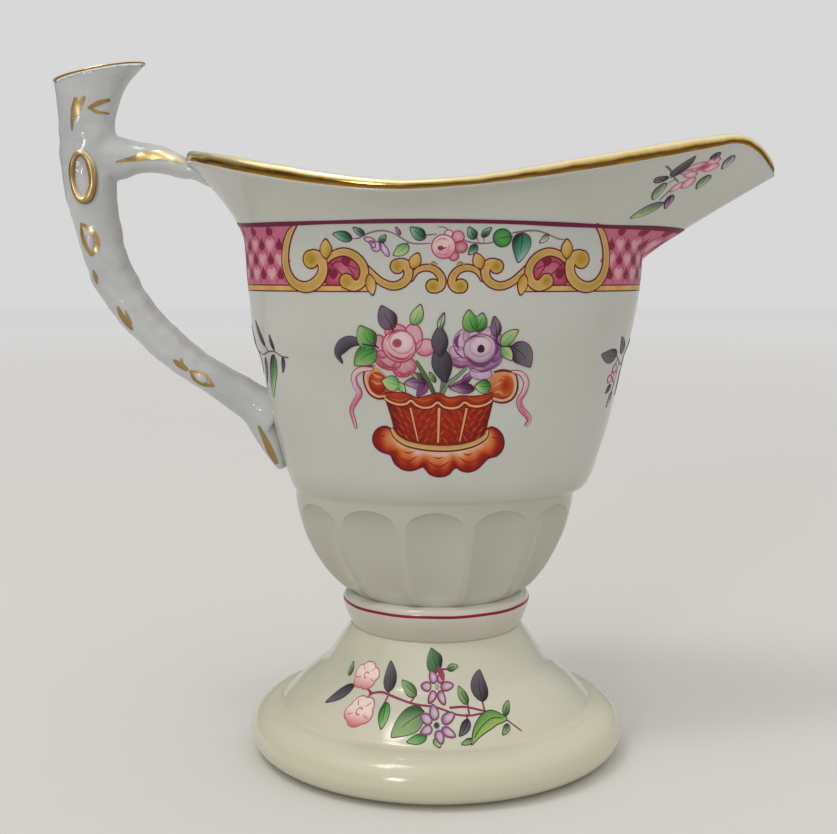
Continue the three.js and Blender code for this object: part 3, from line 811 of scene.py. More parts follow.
band = Painting("band", on_body)
MIDDLE = 0.1  # the band's scrolls mirror about this line
HEART_COLUMN, HEART_HALF_WIDE, HEART_HALF_TALL = 32.4, 2.32, 2.5
LATTICE_LOW, DART_ROW, LOW_LINE = 86.3, 88.1, 85.9
BAND_TOP, LATTICE_TOP = 97.0, 96.6
DART = [(0, 1.45), (0.4, 0.75), (0.92, 0.12), (0.62, -0.5), (0, -0.72), (-0.62, -0.5), (-0.92, 0.12),
        (-0.4, 0.75)]
HEART = [(0, 0.75), (0.75, 1.15), (1.35, 0.6), (1.1, -0.4), (0, -1.45), (-1.1, -0.4), (-1.35, 0.6),
         (-0.75, 1.15)]
HEART_DROP = 2.15  # how far a heart's middle is under its dart's
TOP_LINE = [(-SEAM, 97.35), (-40, 97.0), (-30, 96.9), (-20, 97.0), (-10, 97.1), (0, 97.1), (10, 96.95),
            (20, 96.65),
            (30, 96.45), (38, 96.45), (SEAM, 95.95)]
SCROLL_ARM = [(96.9, 26.3), (95.2, 27.6), (92.8, 28.6), (90.3, 28.9), (88.3, 28.4), (86.2, 26.6)]


def top_line(s):
    return np.interp(s, *np.array(TOP_LINE).T)


def scroll(places, ball, level):
    """An ochre scroll with a dark outline, which ends in a ball (centre and radius)."""
    places = np.array(places, float)
    stroke(band, MAROON, places + (0, 0, 0.24), brown, level)
    blob(band, MAROON, oval(ball[:2], ball[2] + 0.24, ball[2] + 0.24), brown, level)
    stroke(
        band, OCHRE, places,
        lambda t, v: mix(ochre_deep, ochre_pale, 0.45 + 0.4 * v ** 2 + 0.15 * np.sin(9 * t)),
        level + 1)
    blob(band, OCHRE, oval(ball[:2], ball[2], ball[2]), (ochre_deep, ochre), level + 1)


def uneven_ochre(t, v):
    return mix(ochre, ochre_pale, 0.5 + 0.5 * np.sin(t * 40))


def lattice_half(way):
    """Pink hearts and maroon darts between diagonal lines, from a big scroll to the seam."""
    rows, columns = (60, 90) if way > 0 else (14, 16)  # the flare bends the spout's half, so it is finer
    z = np.linspace(LATTICE_LOW, BAND_TOP, rows)
    arm = np.interp(z, *np.array(SCROLL_ARM[::-1]).T)
    share = np.linspace(0, 1, columns)
    s = arm[:, None] + (SEAM - arm)[:, None] * share
    up = (z - LATTICE_LOW) / (BAND_TOP - LATTICE_LOW)
    high = LATTICE_LOW + up[:, None] * (top_line(way * s) - LATTICE_LOW)
    band.lay(PINK, np.stack([way * s, high], -1), pink, 0)
    for k in range(-2, 7):
        at = HEART_COLUMN + k * HEART_HALF_WIDE
        above = 4 if way > 0 and k > 1 else 0
        for row in range(-1, 4):
            if (row + k) % 2 == 0:
                continue
            z = DART_ROW + row * HEART_HALF_TALL
            for sideways in (-1, 1):
                run = [(at + sideways * HEART_HALF_WIDE * f, z + HEART_HALF_TALL * f) for f in (0, 0.5, 1)]
                run = [(way * a, b, 0.1) for a, b in run
                       if LATTICE_LOW <= b <= LATTICE_TOP and 27.5 < a < SEAM + 0.2]
                if len(run) > 1:
                    stroke(band, MAROON, run, magenta, 2 + above, steps=16)
            if k >= -1 and LATTICE_LOW + 0.8 < z < 96.5:
                shape = [(way * (at + a), min(z + b, float(top_line(way * (at + a))) - 0.15)) for a,
                         b in DART]
                blob(band, MAROON, shape, (dart_red, mix(dart_red, magenta, 0.35)), 3 + above, rings=5,
                     steps=32)
            if k >= -1 and LATTICE_LOW < z - 2.2:
                shape = [(way * (at + a), z - HEART_DROP + b) for a, b in HEART]
                blob(band, PINK, shape, lambda r, x, y: mix(heart_pink, pink, r ** 3), 1 + above, rings=8,
                     steps=36)


def band_half(way):
    """The scrolls from the middle outwards to the big one, then the lattice."""
    def put(places):
        return [(MIDDLE + way * s, *rest) for s, *rest in places]

    lattice_half(way)
    patch = [(20.9, 86.5), (21.0, 89.5), (19.6, 91.2), (17, 91.8), (14.7, 91.0), (13.9, 89), (14.2, 86.6),
             (16, 86.2), (18.6, 86.2)]
    blob(band, PINK, put(patch), (pink, crimson), 0)
    for s, z in ((17.0, 90.6), (19.4, 88.4)):
        blob(band, MAROON, put([(s, z + 0.9), (s + 0.9, z), (s, z - 1.0), (s - 0.9, z)]), dart_red, 1,
             rings=3, steps=20)
    for run in ([(20.6, 88.4, 0.12), (18.6, 90.4, 0.12), (15.2, 89.2, 0.1)],
                [(20.4, 90.6, 0.1), (17.6, 88.0, 0.12)],
                [(15.2, 87.4, 0.1), (16.8, 89.8, 0.12)]):
        stroke(band, MAROON, put(run), dart_red, 1.5)

    start, end = 13.5, SEAM - MIDDLE * way
    for half, fill, slot_name, level in ((0.62, brown, MAROON, 0.5), (0.4, uneven_ochre, OCHRE, 1.6)):
        run = put([(s, LOW_LINE, half) for s in np.linspace(start, end, 12)])
        stroke(band, slot_name, run, fill, level, steps=120)

    scroll(put([(5.9, 87.4, 0.2), (5.0, 88.8, 0.34), (3.4, 89.4, 0.44), (1.8, 88.9, 0.5),
                (0.85, 87.5, 0.56), (1.05, 86.4, 0.64), (1.8, 86.15, 0.85)]),
           (MIDDLE + way * 2.3, 86.35, 1.05), 4)
    scroll(put([(13.6, 89.6, 0.3), (12.5, 88.4, 0.42), (10.9, 87.0, 0.5), (9.0, 86.35, 0.56),
                (7.4, 86.8, 0.6), (6.45, 87.9, 0.62),
                (6.4, 89.1, 0.66), (6.85, 89.9, 0.76), (7.7, 89.9, 0.92)]),
           (MIDDLE + way * 8.2, 89.6, 1.07), 6)
    scroll(put([(20.6, 90.4, 0.3), (19.3, 91.5, 0.48), (17.2, 92.0, 0.56), (15.2, 91.2, 0.6),
                (13.95, 89.6, 0.62), (13.9, 88.0, 0.66),
                (14.6, 86.75, 0.7), (15.7, 86.4, 0.85), (16.5, 86.75, 1.0)]),
           (MIDDLE + way * 17.0, 87.15, 1.15), 8)
    scroll(put([(26.4, 96.5, 0.2), (27.6, 95.2, 0.5), (28.6, 92.8, 0.6), (28.9, 90.3, 0.66),
                (28.4, 88.3, 0.7), (27.1, 86.75, 0.74),
                (25.0, 86.1, 0.8), (22.9, 86.7, 0.86), (21.5, 88.2, 0.82), (21.25, 89.8, 0.8),
                (21.8, 91.0, 0.95), (22.9, 91.2, 1.15)]),
           (MIDDLE + way * 23.5, 90.8, 1.42), 10)
    for base, tip, half, level in (((20.6, 91.0), (20.5, 94.1), 1.0, 12),
                                   ((5.7, 89.3), (4.7, 91.7), 0.9, 8),
                                   ((13.0, 88.2), (12.5, 84.9), 0.8, 9)):
        leaf(band, put([base])[0], put([tip])[0], half, (ochre_deep, ochre, ochre_pale), level,
             slot_name=OCHRE, full=0.9, rib=False, rim_half=0.2)
    stroke(band, MAROON, put([(1.6, 89.9, 0.08), (2.2, 90.3, 0.2), (2.9, 89.8, 0.08)]), ochre_deep, 5)


for way in (-1, 1):
    band_half(way)
stroke(band, MAROON, [(s, z - 0.05, 0.34 + 0.04 * math.sin(s)) for s, z in TOP_LINE], maroon, 14, steps=240)

# The garland above the scrolls.
for run in (
    [(-16.0, 94.2, 0.08), (-14.6, 94.3, 0.12), (-13.1, 95.0, 0.14), (-11, 95.5, 0.15), (-9, 95.2, 0.12),
     (-7.4, 94.3, 0.12),
     (-6, 93.5, 0.13), (-4.4, 93.3, 0.12), (-2.6, 93.4, 0.08)],
    [(-4.4, 94.0, 0.06), (-3.2, 94.7, 0.12), (-1.6, 94.9, 0.08)],
    [(2.6, 94.1, 0.1), (3.8, 93.6, 0.13), (5.4, 93.4, 0.14), (6.8, 93.4, 0.12), (8.0, 93.7, 0.1)],
    [(10.4, 95.0, 0.1), (12.6, 95.4, 0.15), (15.2, 95.5, 0.14), (17.2, 94.9, 0.12), (19, 94.2, 0.12),
     (20.8, 94.1, 0.06)],
    [(-1.4, 96.1, 0.06), (-0.3, 96.0, 0.1), (0.7, 95.3, 0.06)],
    [(5.3, 93.5, 0.06), (5.0, 94.3, 0.1)], [(6.2, 93.5, 0.06), (6.1, 94.4, 0.1)],
    [(-8.2, 93.0, 0.05), (-6.6, 93.3, 0.1), (-6.1, 93.5, 0.06)],
    [(-7.5, 94.3, 0.06), (-7.7, 95.2, 0.1)],
):
    stroke(band, VIOLET, run, stem_grey, 0)
for base, tip, half, shades, bend in (
    ((-15.8, 94.1), (-19.0, 95.0), 0.82, TEALS, -0.25), ((-13.6, 94.9), (-15.4, 96.0), 0.5, TEALS, 0.1),
    ((-3.5, 94.3), (-5.8, 96.0), 0.95, TEALS, 0.2), ((-6.3, 93.1), (-8.7, 91.5), 0.85, PALES, 0.2),
    ((4.7, 94.2), (3.7, 96.0), 0.75, TEALS, 0.1), ((5.9, 94.5), (7.3, 95.9), 0.5, TEALS, 0.1),
    ((4.9, 93.1), (3.7, 91.6), 0.62, TEALS, 0.1), ((12.7, 95.1), (12.0, 90.3), 1.55, TEALS, 0.1),
    ((-7.6, 94.9), (-8.2, 96.0), 0.26, (violet_deep, violet, violet), 0.0),
    ((17.1, 94.9), (15.7, 93.6), 0.42, (soot, green_pale, violet_pale), 0.2),
):
    leaf(band, base, tip, half, shades, 1, bend=bend, full=0.62 if half > 1.2 else 0.75)
blob(band, GREEN, oval((9.2, 94.3), 1.5, 1.45), (green, mix(green, green_dark, 0.5)), 1,
     rim=(DARK, green_dark), rim_half=0.13)
stroke(band, DARK, [(10.9, 94.6, 0.12), (9.6, 94.4, 0.08), (8.4, 94.2, 0.03)], green_dark, 3)

# The garland's violet flower and rose.
for centre, rx, rz, tilt in (((-12.7, 94.0), 0.95, 0.42, -15), ((-11.6, 92.9), 0.85, 0.85, 0),
                             ((-10.2, 92.4), 1.35, 0.5, -58), ((-12.2, 93.3), 0.7, 0.4, -50)):
    blob(band, VIOLET, oval(centre, rx, rz, tilt), (violet_pale, violet), 1, rim=(VIOLET, violet_deep),
         rim_half=0.09, rings=3)
leaf(band, (-10.9, 93.6), (-10.0, 94.7), 0.5, TEALS, 2)
for centre, r, colour in (((1.9, 94.5), 1.0, rose), ((2.4, 92.8), 1.05, rose_deep),
                          ((1.2, 91.3), 0.85, rose_deep), ((0.4, 94.9), 0.7, rose_pale)):
    blob(band, PINK, oval(centre, r, r * 0.95), (mix(rose_pale, colour, 0.5), colour), 1,
         rim=(MAROON, rose_deep), rim_half=0.09)
blob(
    band, PINK, oval((-0.45, 92.85), 1.95, 1.95),
    lambda r, x, y: mix(rose_pale, rose, np.clip(0.25 - y * 0.8 + x * 0.25, 0, 1) * r ** 0.5), 3,
    rim=(MAROON, rose_deep), rim_half=0.1)
for run in ([(-1.6, 91.9, 0.05), (-0.3, 91.5, 0.14), (0.7, 92.3, 0.05)],
            [(-0.4, 92.0, 0.04), (0.3, 92.4, 0.12), (0.5, 93.2, 0.04)],
            [(-1.9, 93.5, 0.04), (-0.8, 94.2, 0.12), (0.4, 93.8, 0.04)]):
    stroke(band, PINK, run, rose, 4.5)
blob(band, MAROON, oval((-0.95, 92.6), 0.5, 0.42), rose_eye, 5, rings=3, steps=20)
stroke(band, MAROON, [(-0.7, 92.5, 0.2), (0.1, 92.7, 0.04)], rose_eye, 5.5)
band.done()


# ---- The basket of flowers on each side ---------------------------------------------------------

basket = Painting("basket", on_body)


# The tray: from the basket's foot down to the lobed edge.
tray_edge = curve([(-9.3, 61.6), (-11.2, 62.5), (-13.0, 61.9), (-14.0, 60.3), (-13.6, 58.9), (-12.2, 58.0),
                   (-10.6, 57.6), (-9.9, 56.2),
                   (-8.2, 55.1), (-6.3, 54.95), (-4.7, 55.4), (-3.9, 55.6), (-2.6, 54.4), (-0.6, 53.9),
                   (1.4, 54.3), (2.8, 55.5),
                   (3.9, 55.0), (5.5, 54.7), (7.4, 55.2), (8.8, 56.4), (9.6, 57.1), (11.0, 57.3),
                   (12.1, 58.2), (12.4, 59.5),
                   (11.8, 61.0), (10.5, 62.1), (9.2, 62.4), (8.2, 61.8)], 150)
tray_top = curve([(-9.3, 61.6), (-8.6, 60.6), (-6.2, 59.7), (-3.2, 59.2), (0, 59.0), (3.2, 59.3), (6, 59.9),
                  (7.8, 60.8), (8.2, 61.8)], 150)
share = np.linspace(0, 1, 12)[None, :, None]
tray = tray_edge[:, None] * (1 - share) + tray_top[:, None] * share
depth = np.broadcast_to(share[..., 0], tray.shape[:2])
lobes = 0.10 * np.sin(tray[..., 0] * 2.1) * (1 - depth)
tone = np.clip(depth * 1.2 + lobes - 0.02, 0, 1)
deep_red, warm, light_orange = mix(red_dark, red, 0.75), mix(red, orange, 0.55), mix(orange, cream, 0.3)
tray_colour = np.select(
    [(tone < low)[..., None] for low in (0.22, 0.45, 0.68, 2.0)],
    [
        mix(mix(red_dark, red, 0.3), deep_red, tone / 0.22),
        mix(deep_red, warm, (tone - 0.22) / 0.23), mix(warm, light_orange, (tone - 0.45) / 0.23),
        mix(light_orange, mix(cream, rose_pale, 0.25), np.clip((tone - 0.68) / 0.2, 0, 1))])
basket.lay(RED, tray, tray_colour, 0)
stroke(basket, MAROON, np.column_stack([tray_edge[::3], np.full(50, 0.17)]), mix(red_dark, maroon, 0.4), 1,
       steps=150)
for s, z, wide in ((-6.9, 58.1, 1.0), (-0.8, 57.2, 1.2), (5.2, 57.8, 0.9), (-11.9, 60.9, 0.7),
                   (10.4, 60.6, 0.7)):
    stroke(basket, MAROON, [(s - wide, z + 0.16, 0.03), (s, z - 0.12, 0.12), (s + wide, z + 0.16, 0.03)],
           mix(red, brown, 0.4), 2)
for s, z, wide, drop in ((-7.2, 56.6, 2.2, 0.9), (-0.7, 55.7, 2.4, 0.9), (5.6, 56.4, 2.3, 0.9)):
    stroke(basket, RED, [(s - wide, z + drop, 0.05), (s, z - 0.1, 0.2), (s + wide, z + drop, 0.05)], red,
           1.5)
    stroke(basket, RED, [(s - wide * 0.8, z + drop + 0.9, 0.04), (s, z + 0.8, 0.14),
                         (s + wide * 0.8, z + drop + 0.9, 0.04)], orange, 1.5)

# The woven body: four panels between ribs, hatched slantwise.
left = curve([(-11.0, 67.4), (-10.4, 65.5), (-9.7, 63.0), (-9.4, 60.9)], 24)
right = curve([(9.4, 67.2), (9.0, 65.0), (8.6, 63.0), (8.5, 60.9)], 24)
across = np.linspace(0, 1, 60)[None, :, None]
body = left[:, None] * (1 - across) + right[:, None] * across
down = np.linspace(0, 1, 24)[:, None]
body[..., 1] -= 1.9 * np.sin(math.pi * across[..., 0]) * down ** 1.5
body[..., 1] -= 0.6 * np.sin(math.pi * across[..., 0]) * (1 - down)
hatch = 0.5 + 0.5 * np.sin(body[..., 0] * 2.6 + body[..., 1] * 3.6)
edge_dark = np.abs(across[..., 0] * 2 - 1) ** 4
tone = np.clip(0.62 + 0.5 * hatch * np.sin(down * math.pi) - 0.7 * edge_dark - 0.25 * down, 0, 1)
basket.lay(RED, body, mix(red_dark, mix(red, orange, 0.06), tone * 0.8), 2)
outline = np.vstack([left, body[-1, 2:-2], right[::-1]])
stroke(basket, MAROON, np.column_stack([outline[::2], np.full(len(outline[::2]), 0.1)]), red_dark, 3,
       steps=120)
for column in range(15):
    for row in range(5):
        s = -9.7 + column * 1.28 + 0.5 * (row % 2)
        z = 61.6 + row * 0.95 + 0.25 * math.sin(column * 2.3) - 1.3 * math.cos(s * 0.16) * (1 - row / 5)
        left_side = np.interp(z, left[::-1, 1], left[::-1, 0])
        right_side = np.interp(z, right[::-1, 1], right[::-1, 0])
        if not left_side + 0.7 < s < right_side - 0.7:
            continue
        lean = 0.55 if (column // 4) % 2 else -0.55
        stroke(basket, RED, [(s - lean, z - 0.55, 0.04), (s, z, 0.2), (s + lean, z + 0.55, 0.04)],
               mix(red, orange, 0.22 if (row + column) % 3 else 0.05), 3, steps=8)
for top, low, half in (((-6.2, 65.7), (-4.9, 60.2), 0.17), ((-0.8, 65.6), (-0.9, 60.0), 0.26),
                       ((4.4, 65.6), (3.4, 60.2), 0.2)):
    stroke(basket, MAROON, [(*top, half + 0.13), (*low, half + 0.1)], red_dark, 4, steps=16)
    stroke(basket, OCHRE, [(*top, half), (*low, half * 0.8)],
           (mix(cream, orange, 0.25), mix(cream, orange, 0.5)), 5, steps=16)

# The ring at its foot.
ring = [(-9.9, 62.0, 0.26), (-9.3, 61.0, 0.36), (-7.6, 59.9, 0.38), (-4.6, 59.2, 0.38), (-0.6, 58.9, 0.4),
        (3.6, 59.1, 0.38), (6.8, 59.9, 0.38),
        (8.5, 61.0, 0.34), (8.7, 61.8, 0.2)]
stroke(basket, MAROON, [(s, z - 0.1, half + 0.2) for s, z, half in ring], brown, 6)
stroke(basket, OCHRE, ring, lambda t, v: mix(mix(ochre, cream, 0.5), ochre_deep, 0.3 + 0.3 * v), 7)

# The rolled rim: red, with a scalloped cream edge, and a curl at each side.
rim_low = curve([(-11.0, 67.3), (-10.2, 66.8), (-8.3, 66.3), (-6.9, 66.5), (-6.1, 67.0), (-5.2, 66.3),
                 (-3.8, 65.8), (-2.2, 66.0),
                 (-1.1, 66.7), (0.0, 66.0), (1.5, 65.7), (3.0, 66.0), (4.0, 66.7), (5.0, 66.2), (6.5, 66.0),
                 (8.2, 66.4), (9.4, 67.2)], 120)
rim_high = curve([(-11.0, 68.3), (-8.5, 68.4), (-6.6, 68.2), (-5.2, 67.6), (-3.0, 67.9), (-1.0, 68.4),
                  (1.0, 67.6), (3.4, 67.9), (5.4, 67.8),
                  (7.6, 68.0), (9.4, 68.6)], 120)
share = np.linspace(0, 1, 8)[None, :, None]
rim = rim_low[:, None] * (1 - share) + rim_high[:, None] * share
tone = np.clip(0.2 + 0.75 * np.broadcast_to(share[..., 0],
                                            rim.shape[:2]) + 0.2 * np.sin(rim[..., 0] * 1.25), 0, 1)
basket.lay(RED, rim, mix(red_dark, mix(red, orange, 0.2), tone), 6)
stroke(basket, MAROON, np.column_stack([rim_high[::4], np.full(30, 0.09)]), red_dark, 8, steps=110)
for lift, half, colour, slot_name, level in ((0.0, 0.3, red_dark, MAROON, 7),
                                             (0.05, 0.17, mix(cream, orange, 0.2), OCHRE, 9)):
    stroke(basket, slot_name, np.column_stack([rim_low[::3] + (0, lift), np.full(40, half)]), colour, level,
           steps=150)
for s in (-8.3, -3.8, 1.5, 6.5):
    stroke(basket, RED, [(s - 1.9, 67.5, 0.05), (s, 67.0, 0.2), (s + 1.9, 67.5, 0.05)],
           mix(red, orange, 0.35), 8)

# The curl at each end of the rim: orange at the top, deep red where it rolls into the rim, edged in cream.
def rolled(top, low):
    def colour(r, x, z):
        rise = np.clip(0.5 + 0.55 * z, 0, 1)
        return mix(low, top, rise) * (
            1 - 0.3 * np.clip(np.abs(r - 0.5) * 2 - 0.4, 0, 1) * (1 - rise))[..., None]
    return colour


left_curl = [(-9.6, 68.2), (-11.0, 67.4), (-12.6, 67.5), (-14.0, 68.5), (-14.75, 70.2), (-14.5, 71.7),
             (-13.5, 72.6), (-12.2, 72.5), (-11.0, 71.6),
             (-10.2, 70.0)]
right_curl = [(8.4, 68.2), (9.6, 67.2), (11.4, 66.9), (12.8, 67.4), (13.5, 68.8), (13.3, 70.5),
              (12.4, 71.6), (10.6, 72.0), (9.1, 71.6), (8.3, 70.2)]
pale_edge = mix(cream, orange, 0.2)
blob(basket, RED, left_curl, rolled(mix(cream, orange, 0.45), mix(red_dark, red, 0.35)), 5,
     centre=(-12.2, 69.9))
blob(
    basket, RED, oval((-12.3, 70.0), 1.7, 1.9, 20),
    lambda r, x, z: mix(
        mix(red, orange, 0.45 * (1 + z)), mix(red_dark, red, 0.6), np.clip(r - 0.3 * z, 0, 1)),
    8)
blob(basket, RED, right_curl, rolled(mix(cream, orange, 0.5), mix(red_dark, red, 0.75)), 5,
     centre=(10.9, 69.6))
blob(
    basket, RED, oval((11.5, 69.5), 1.5, 1.8),
    lambda r, x, z: mix(
        mix(red_dark, red, 0.9), mix(red, orange, 0.7), np.clip(r ** 1.5 - 0.2 * x, 0, 1)),
    8)
for run in ([(-10.6, 67.35, 0.12), (-12.5, 67.3, 0.15), (-14.1, 68.2, 0.15), (-14.95, 70.1, 0.15),
             (-14.8, 71.7, 0.14), (-13.8, 72.75, 0.12),
             (-12.6, 72.9, 0.06)],
            [(9.2, 66.95, 0.12), (11.4, 66.6, 0.16), (13.1, 67.2, 0.16), (13.9, 68.8, 0.16),
             (13.6, 70.8, 0.13), (12.9, 71.8, 0.1)],
            [(9.2, 71.9, 0.16), (10.7, 72.15, 0.22), (12.4, 71.9, 0.16)]):
    stroke(basket, MAROON, run, brown, 9)
for run in ([(-10.9, 67.75, 0.12), (-12.5, 67.7, 0.2), (-13.8, 68.5, 0.22), (-14.5, 70.2, 0.24),
             (-14.3, 71.5, 0.2), (-13.4, 72.3, 0.1)],
            [(9.4, 67.4, 0.14), (11.3, 67.0, 0.2), (12.8, 67.6, 0.24), (13.4, 68.9, 0.24),
             (13.1, 70.6, 0.2), (12.3, 71.5, 0.1)]):
    stroke(basket, OCHRE, run, pale_edge, 10)
for run in ([(-13.2, 71.6, 0.06), (-12.4, 71.1, 0.22), (-11.4, 70.9, 0.06)],
            [(-13.4, 70.4, 0.06), (-12.5, 69.9, 0.2), (-11.5, 69.9, 0.05)],
            [(9.2, 70.9, 0.06), (10.1, 71.1, 0.22), (11.2, 70.7, 0.06)],
            [(9.3, 69.4, 0.06), (10.2, 69.9, 0.22), (10.9, 70.2, 0.06)],
            [(9.4, 68.4, 0.05), (10.4, 68.5, 0.2), (11.2, 68.0, 0.05)]):
    stroke(basket, RED, run, mix(orange, cream, 0.25), 11)

# Ribbons.
for ribbon in ([(-13.2, 72.4, 0.2), (-15.4, 72.2, 0.4), (-16.8, 71.1, 0.42), (-16.7, 69.7, 0.42),
                (-15.9, 68.2, 0.42), (-16.9, 66.7, 0.36),
                (-17.9, 65.2, 0.3), (-17.6, 63.6, 0.28), (-17.3, 62.3, 0.2)],
               [(12.6, 71.9, 0.16), (14.3, 71.5, 0.34), (15.5, 70.1, 0.44), (15.3, 68.4, 0.44),
                (14.5, 66.9, 0.42), (15.1, 65.5, 0.42),
                (16.6, 64.2, 0.4), (17.1, 63.4, 0.3), (16.5, 62.7, 0.16)]):
    edged_stroke(basket, MAROON, 0.12, mix(rose_deep, maroon, 0.5), PINK, ribbon,
                 lambda t, v: mix(mix(rose, pink, 0.5), rose_pale, 0.35 + 0.45 * np.sin(7 * t + 1.2 * v)),
                 12)

# Stems and dark leaves inside the basket.
for stem_run, colour in (([(-4.9, 73.6, 0.2), (-3.7, 71.6, 0.34), (-2.6, 69.8, 0.34), (-1.7, 68.1, 0.26)],
                          green_dark),
                         ([(3.9, 72.6, 0.2), (2.2, 71.0, 0.26), (0.7, 69.9, 0.26), (-0.2, 68.2, 0.24)],
                          mix(green, stem_grey, 0.5)),
                         ([(-0.2, 71.3, 0.2), (-0.3, 69.6, 0.24), (-0.5, 68.2, 0.22)], soot),
                         ([(4.6, 71.0, 0.1), (3.0, 70.3, 0.16), (1.0, 69.4, 0.1)], violet_deep)):
    edged_stroke(basket, DARK, 0.1, soot_dark, GREEN, stem_run, (mix(colour, green_pale, 0.25), colour), 4)
for base, tip, half, shades, bend in (
    ((-3.2, 69.9), (-7.2, 70.0), 1.0, (violet_dark, mix(violet_deep, soot, 0.4), violet), -0.4),
    ((-3.3, 70.2), (-4.9, 67.9), 0.9, (violet_dark, violet_deep, violet_deep), 0.2),
    ((-4.0, 71.0), (-5.7, 71.7), 0.5, (green_dark, soot, green_pale), 0.2),
    ((5.6, 69.0), (1.2, 69.2), 0.85, (violet_dark, mix(violet_dark, violet_deep, 0.6), violet), -0.2),
    ((3.4, 70.0), (5.4, 71.9), 0.6, (violet_dark, violet_deep, violet), 0.1),
    ((-1.6, 70.3), (-2.6, 71.8), 0.36, GREENS, 0.0),
):
    leaf(basket, base, tip, half, shades, 7, bend=bend,
         slot_name=VIOLET if shades[1] is not soot else GREEN)


def petal(centre, rx, rz, tilt, inner, outer, level, slot_name, edge, lean=(0.0, 0.0), rim_half=0.11):
    """A petal, paler on the side that leans away from its lower edge."""
    def colour(r, x, z):
        tone = np.clip(0.35 + 0.5 * r ** 2 - lean[0] * x - lean[1] * z, 0, 1)
        streak = 0.08 * np.sin(9 * x + 5 * z)
        return mix(inner, outer, np.clip(tone + streak, 0, 1))
    blob(basket, slot_name, oval(centre, rx, rz, tilt), colour, level,
         rim=(MAROON if slot_name == PINK else VIOLET, edge), rim_half=rim_half)


# The pink rose.
ROSE_HEART = np.full(3, 0.45)
for centre, rx, rz, tilt, outer, lean in (
    ((-8.4, 78.7), 1.9, 1.3, 0, rose, (0, -0.3)),
    ((-5.3, 77.9), 1.5, 2.2, 8, mix(rose_pale, rose, 0.7), (-0.2, 0)),
    ((-3.3, 76.1), 1.7, 1.4, 12, rose, (0, 0.5)),
    ((-11.2, 76.2), 1.4, 2.0, 15, rose_deep, (-0.5, 0.2)),
    ((-7.2, 72.7), 2.2, 1.6, 18, rose_deep, (0, 0.3)),
    ((-10.2, 73.9), 2.5, 1.6, -14, rose_deep, (0.2, 0.4)),
):
    petal(centre, rx, rz, tilt, mix(rose_pale, rose, 0.35), mix(outer, rose_deep, 0.25), 8, PINK, rose_deep,
          lean)
blob(
    basket, PINK, oval((-7.9, 76.3), 2.95, 2.7),
    lambda r, x, z: mix(
        rose_pale, mix(rose, rose_deep, 0.45),
        np.clip(0.18 + 0.55 * r ** 2 * (0.55 - z * 0.8 - 0.35 * x), 0, 1)),
    11, rim=(MAROON, rose_deep), rim_half=0.14)
blob(
    basket, PINK, oval((-7.4, 76.9), 2.1, 1.85),
    lambda r, x, z: mix(
        mix(rose_pale, ROSE_HEART, 0.35), rose, np.clip(0.1 + 0.5 * r ** 3 * (0.6 - z), 0, 1)),
    13, rim=(PINK, rose), rim_half=0.1)
for run in ([(-10.2, 75.6, 0.05), (-8.8, 74.4, 0.2), (-6.9, 74.2, 0.16), (-5.6, 75.2, 0.05)],
            [(-10.0, 77.2, 0.04), (-9.2, 78.4, 0.14), (-7.8, 78.8, 0.05)],
            [(-11.9, 74.2, 0.05), (-10.2, 72.8, 0.18), (-8.6, 72.8, 0.05)],
            [(-8.9, 72.2, 0.05), (-7.2, 71.5, 0.16), (-5.7, 72.4, 0.04)]):
    stroke(basket, PINK, run, rose_deep, 14.5)
blob(basket, MAROON, oval((-8.2, 76.8), 0.85, 0.75, 10), (rose_eye, mix(rose_eye, rose, 0.35)), 16, rings=4,
     steps=28)

# The violet rose.
plum = mix(violet_deep, violet, 0.35)
for centre, rx, rz, tilt, inner, outer, lean in (
    ((4.6, 78.2), 1.5, 1.3, 30, violet_pale, violet, (0, -0.2)),
    ((7.4, 78.3), 1.7, 1.2, -16, violet_pale, violet, (0, -0.2)),
    ((9.0, 77.2), 1.2, 1.5, 20, violet, plum, (0, 0.1)),
    ((2.9, 77.4), 1.2, 1.9, -24, violet_pale, violet, (-0.6, 0)),
    ((9.3, 75.4), 1.3, 2.0, -16, violet, violet_deep, (0, 0.4)),
    ((2.6, 75.0), 1.9, 1.1, -30, violet_pale, mix(violet, rose, 0.4), (0, 0.3)),
    ((3.3, 73.6), 2.1, 0.8, -6, mix(violet, rose, 0.3), mix(violet_deep, rose_deep, 0.5), (0, 0.4)),
    ((6.7, 71.7), 2.1, 1.1, -6, violet_pale, violet, (0, -0.1)),
    ((7.4, 73.6), 3.1, 1.6, 14, violet, plum, (0.1, 0.5)),
):
    petal(centre, rx, rz, tilt, inner, outer, 9, VIOLET, plum, lean, rim_half=0.08)
blob(
    basket, VIOLET, oval((6.2, 75.8), 2.85, 2.55),
    lambda r, x, z: mix(
        violet_pale, violet_deep, np.clip(0.1 + 0.75 * r ** 3 * (0.5 - z * 0.8 + 0.1 * x), 0, 1)),
    12, rim=(VIOLET, violet_deep), rim_half=0.1)
blob(
    basket, VIOLET, oval((6.3, 76.2), 1.95, 1.65),
    lambda r, x, z: mix(
        mix(violet_pale, rose_pale, 0.3), violet, np.clip(0.1 + 0.55 * r ** 3 * (0.7 - z), 0, 1)),
    14, rim=(VIOLET, violet), rim_half=0.08)
